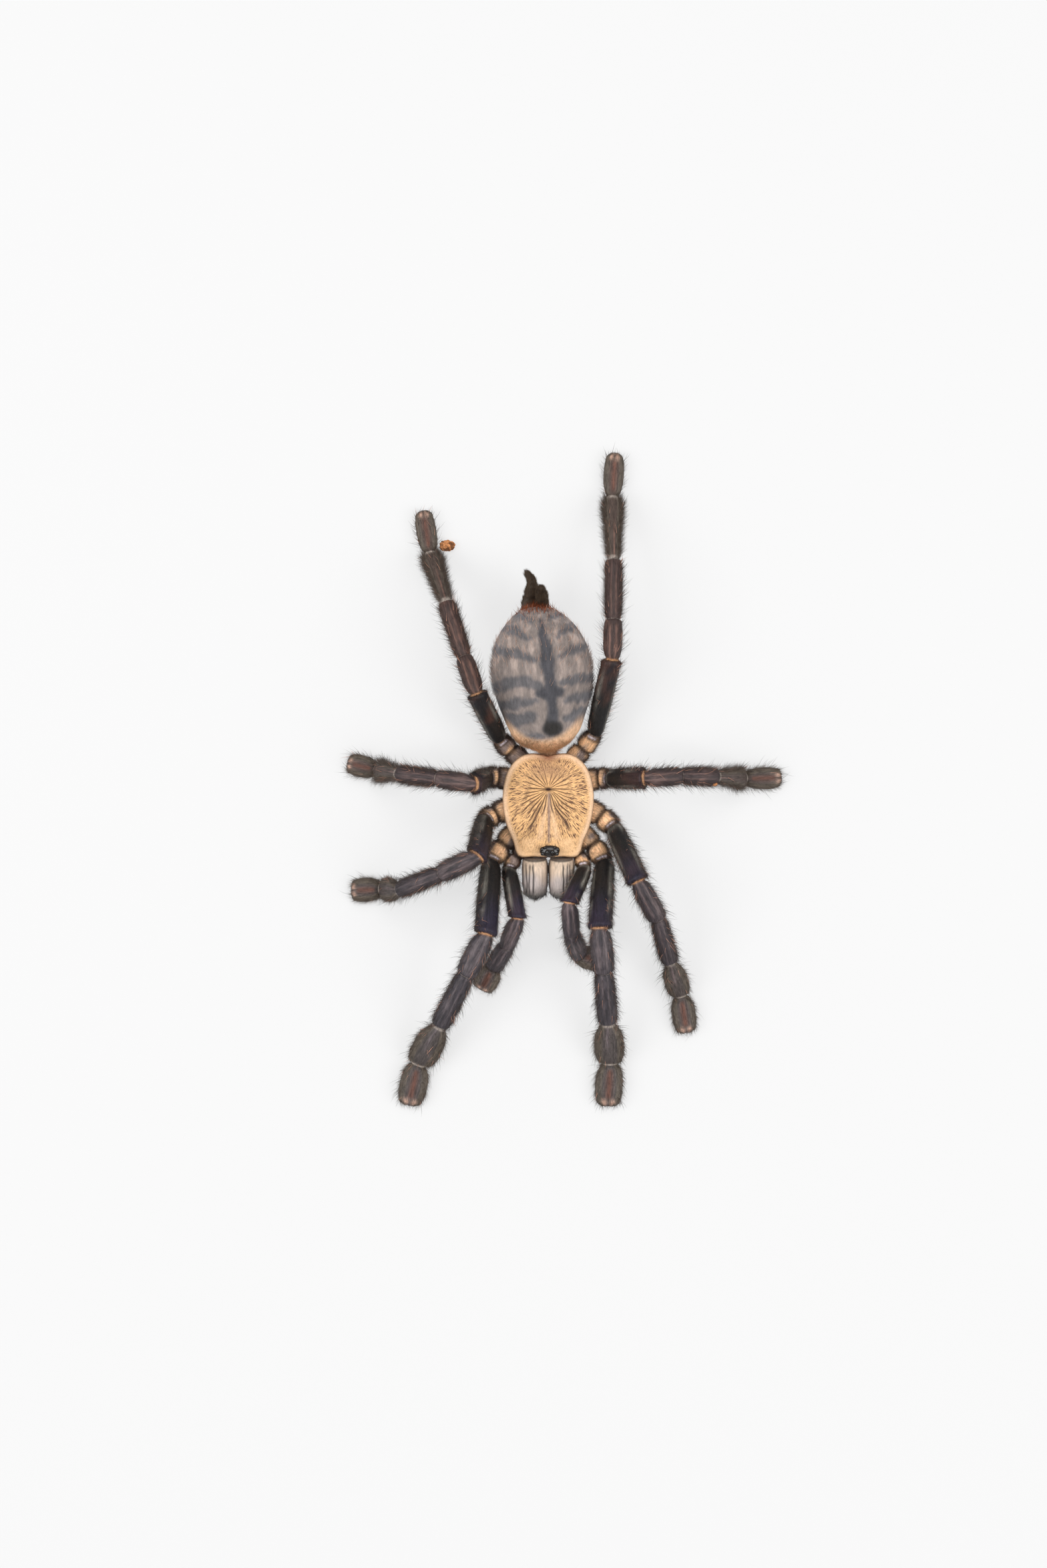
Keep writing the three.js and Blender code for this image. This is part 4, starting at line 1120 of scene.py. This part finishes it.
def makeSternum():
    base = ballMesh("plate", 96, 40, plateShape)
    mesh = joined("sternum", [base, ballMesh("trunk", 48, 24, trunkShape)])
    points = readPoints(mesh)
    setPaint(mesh, hexColour(plate["colour"]) * (1 + 0.2 * wobble(points / mm, 1.5, 51))[:, None])
    addPiece("sternum_skin", mesh, materials["abdomenSkin"], ["sternum"])

    def look(roots, where, normal):
        return np.tile([0.0, 1.0, 0.0], (len(where), 1)), np.zeros_like(where), 1.0

    below = ramp(-normalsOf(mesh)[:, 2], 0.1, 0.6) * (points[:, 2] < 3 * mm) + tiny
    hairs = growHair("sternum_hair", mesh, sternumHair, below, np.random.default_rng(500), look)
    addPiece("sternum_hair", hairs, materials["bodyHair"])


makeSternum()

# The spinnerets.
spinnerets = {
    "long_left": {"hairs": 2600, "half": [1.6, 1.5, 1.3, 1.05, 0.65], "path": [
        (-4.6, 31.5, 6.0), (-4.6, 35.8, 7.4), (-4.7, 37.8, 9.6), (-4.9, 39.0, 12.0), (-5.0, 39.6, 14.2)]},
    "long_right": {"hairs": 2600, "half": [1.7, 1.65, 1.4, 1.1, 0.65], "path": [
        (-7.3, 31.5, 5.2), (-7.5, 36.0, 6.0), (-7.1, 38.6, 7.2), (-6.8, 40.9, 8.6), (-8.0, 43.1, 9.4)]},
    "short_left": {"hairs": 700, "half": [0.7, 0.65, 0.4], "path": [
        (-5.2, 30.5, 3.6), (-5.2, 34.0, 3.4), (-5.1, 35.9, 3.3)]},
    "short_right": {"hairs": 700, "half": [0.7, 0.65, 0.4], "path": [
        (-6.9, 30.5, 3.4), (-7.0, 34.0, 3.1), (-7.2, 35.7, 3.0)]},
}
spinneretBuild = {"rings": 60, "sides": 36, "pile": 0.15, "colour": "3a2d22", "joints": (0.45, 0.72),
                  "tipStart": 0.93, "tipLength": 0.075}
spinneretHair = {"length": (0.5, 1.3), "rise": (10, 34), "girth": 0.07, "spread": 0.25, "droop": 0.05,
                 "rings": 1, "between": ("3a2f26", "5c4a38")}


def makeSpinneret(word, seed):
    spec, build = spinnerets[word], spinneretBuild
    rings = curveRings(spec["path"], np.array(spec["half"]) - build["pile"], build["rings"])
    shares = rings["place"]
    pinch = 1 - 0.12 * sum(hump(shares, joint, 0.03) for joint in build["joints"])
    tip = np.clip((shares - build["tipStart"]) / build["tipLength"], 0, 1)
    for key in ("wide", "high", "deep"):
        rings[key] = rings[key] * pinch * np.sqrt(1 - tip**2)
    mesh = sweptTube("spinneret_" + word, rings, build["sides"])
    place = getVectors(mesh, "place")
    setPaint(mesh, hexColour(build["colour"]) * (1 + 0.2 * wobble(readPoints(mesh) / mm, 2.0, seed))[:, None])
    addPiece(f"spinneret_{word}_skin", mesh, materials["limbSkin"], ["spinneret_" + word])

    def look(roots, where, normal):
        last = build["rings"] - 1
        ring = np.clip((atRoots(place, roots)[:, 0] * last).astype(int), 0, last)
        return rings["along"][ring], np.zeros_like(where), 1.0

    hair = {**spinneretHair, "count": spec["hairs"]}
    density = ramp(place[:, 0], 0.2, 0.5) + 0.02
    hairs = growHair("hairs", mesh, hair, density, np.random.default_rng(seed), look)
    addPiece(f"spinneret_{word}_hair", hairs, materials["bodyHair"])


for number, word in enumerate(spinnerets):
    makeSpinneret(word, 600 + number)

# The lump of soil beside the right hind foot, and a speck of it on the third left leg.
lumps = {
    "soil_lump": {"at": (-24.55, 49.0, 0.7), "half": (1.55, 1.15, 0.95), "across": 72},
    "soil_speck": {"at": (31.0, -0.95, 10.9), "half": (0.55, 0.42, 0.4), "across": 40},
}
soilColours = palette({"light": "bf8152", "dark": "6a4226"})


def makeLump(name, replaced):
    lump = lumps[name]

    def shape(p):
        x, y, z = p.T
        rough = 1 + 0.14 * np.sin(7 * x + 4 * y) * np.cos(5 * z - 3 * y)
        rough += 0.06 * wobble(p, 9, 71) + 0.04 * wobble(p, 20, 72)
        points = np.array(lump["at"]) + p * rough[:, None] * lump["half"]
        points[:, 2] = np.maximum(points[:, 2], 0)
        return points

    mesh = ballMesh(name, lump["across"], lump["across"] * 2 // 3, shape)
    shade = ramp(wobble(readPoints(mesh) / mm, 4, 73), -0.2, 0.7)
    setPaint(mesh, mix(soilColours["light"], soilColours["dark"], shade))
    addPiece(name, mesh, materials["soil"], replaced)


makeLump("soil_lump", ["soil_crumb"])
makeLump("soil_speck", [])
print("sternum, spinnerets and soil ready")

# The studio, in metres: a pale floor, three soft lights and a camera that looks straight down.
studio = {"floorColour": "898989", "floorGlow": 0.6, "floorSize": 6, "world": 0.47,
          "lights": [{"at": (-0.75, -0.1, 0.75), "size": 0.7, "power": 5.7},
                     {"at": (0.75, -0.25, 0.75), "size": 0.7, "power": 5.7},
                     {"at": (0.0, 0.5, 1.1), "size": 0.9, "power": 6.3}]}
white = (1, 1, 1, 1)
# The photo's frame in pixels, the pixel where the part's origin lies, and the camera's height
photo = {"width": 1568, "height": 2349, "metresPerPixel": 0.00014, "originPixel": (845, 1168),
         "distance": 0.8, "sensor": 36}


def makeStudio():
    bm = bmesh.new()
    bmesh.ops.create_grid(bm, x_segments=8, y_segments=8, size=studio["floorSize"] / 2)
    floor = addObject("floor", toMesh(bm, "floor"))
    material = bpy.data.materials.new("floor")
    material.use_nodes = True
    values = {"Base Color": rgba(studio["floorColour"]), "Roughness": 0.9, "Specular IOR Level": 0.1,
              "Emission Color": white, "Emission Strength": studio["floorGlow"]}
    for label, value in values.items():
        material.node_tree.nodes["Principled BSDF"].inputs[label].default_value = value
    floor.data.materials.append(material)
    floor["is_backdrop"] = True
    for number, spec in enumerate(studio["lights"]):
        data = bpy.data.lights.new(f"softbox{number}", "AREA")
        data.shape = "SQUARE"
        data.size = spec["size"]
        data.energy = spec["power"]
        lamp = addObject(f"softbox{number}", data)
        lamp.location = spec["at"]
        lamp.rotation_euler = Vector(spec["at"]).to_track_quat("Z", "Y").to_euler()
    world = bpy.data.worlds.new("studio")
    world.use_nodes = True
    background = world.node_tree.nodes["Background"]
    background.inputs["Color"].default_value = white
    background.inputs["Strength"].default_value = studio["world"]
    bpy.context.scene.world = world
    bpy.context.scene.view_settings.view_transform = "Standard"


def makeCamera():
    pixel = photo["metresPerPixel"]
    originX, originY = photo["originPixel"]
    data = bpy.data.cameras.new("camera")
    data.sensor_width = photo["sensor"]
    data.lens = photo["sensor"] * photo["distance"] / (photo["height"] * pixel)
    data.clip_start = 0.01
    data.clip_end = 20
    camera = addObject("camera", data)
    camera.location = ((photo["width"] / 2 - originX) * pixel, (originY - photo["height"] / 2) * pixel,
                       photo["distance"])
    bpy.context.scene.camera = camera


makeStudio()
makeCamera()

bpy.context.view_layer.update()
triangles = sum(len(polygon.vertices) - 2 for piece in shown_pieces() for polygon in piece.data.polygons)
print("studio ready,", triangles, "triangles")
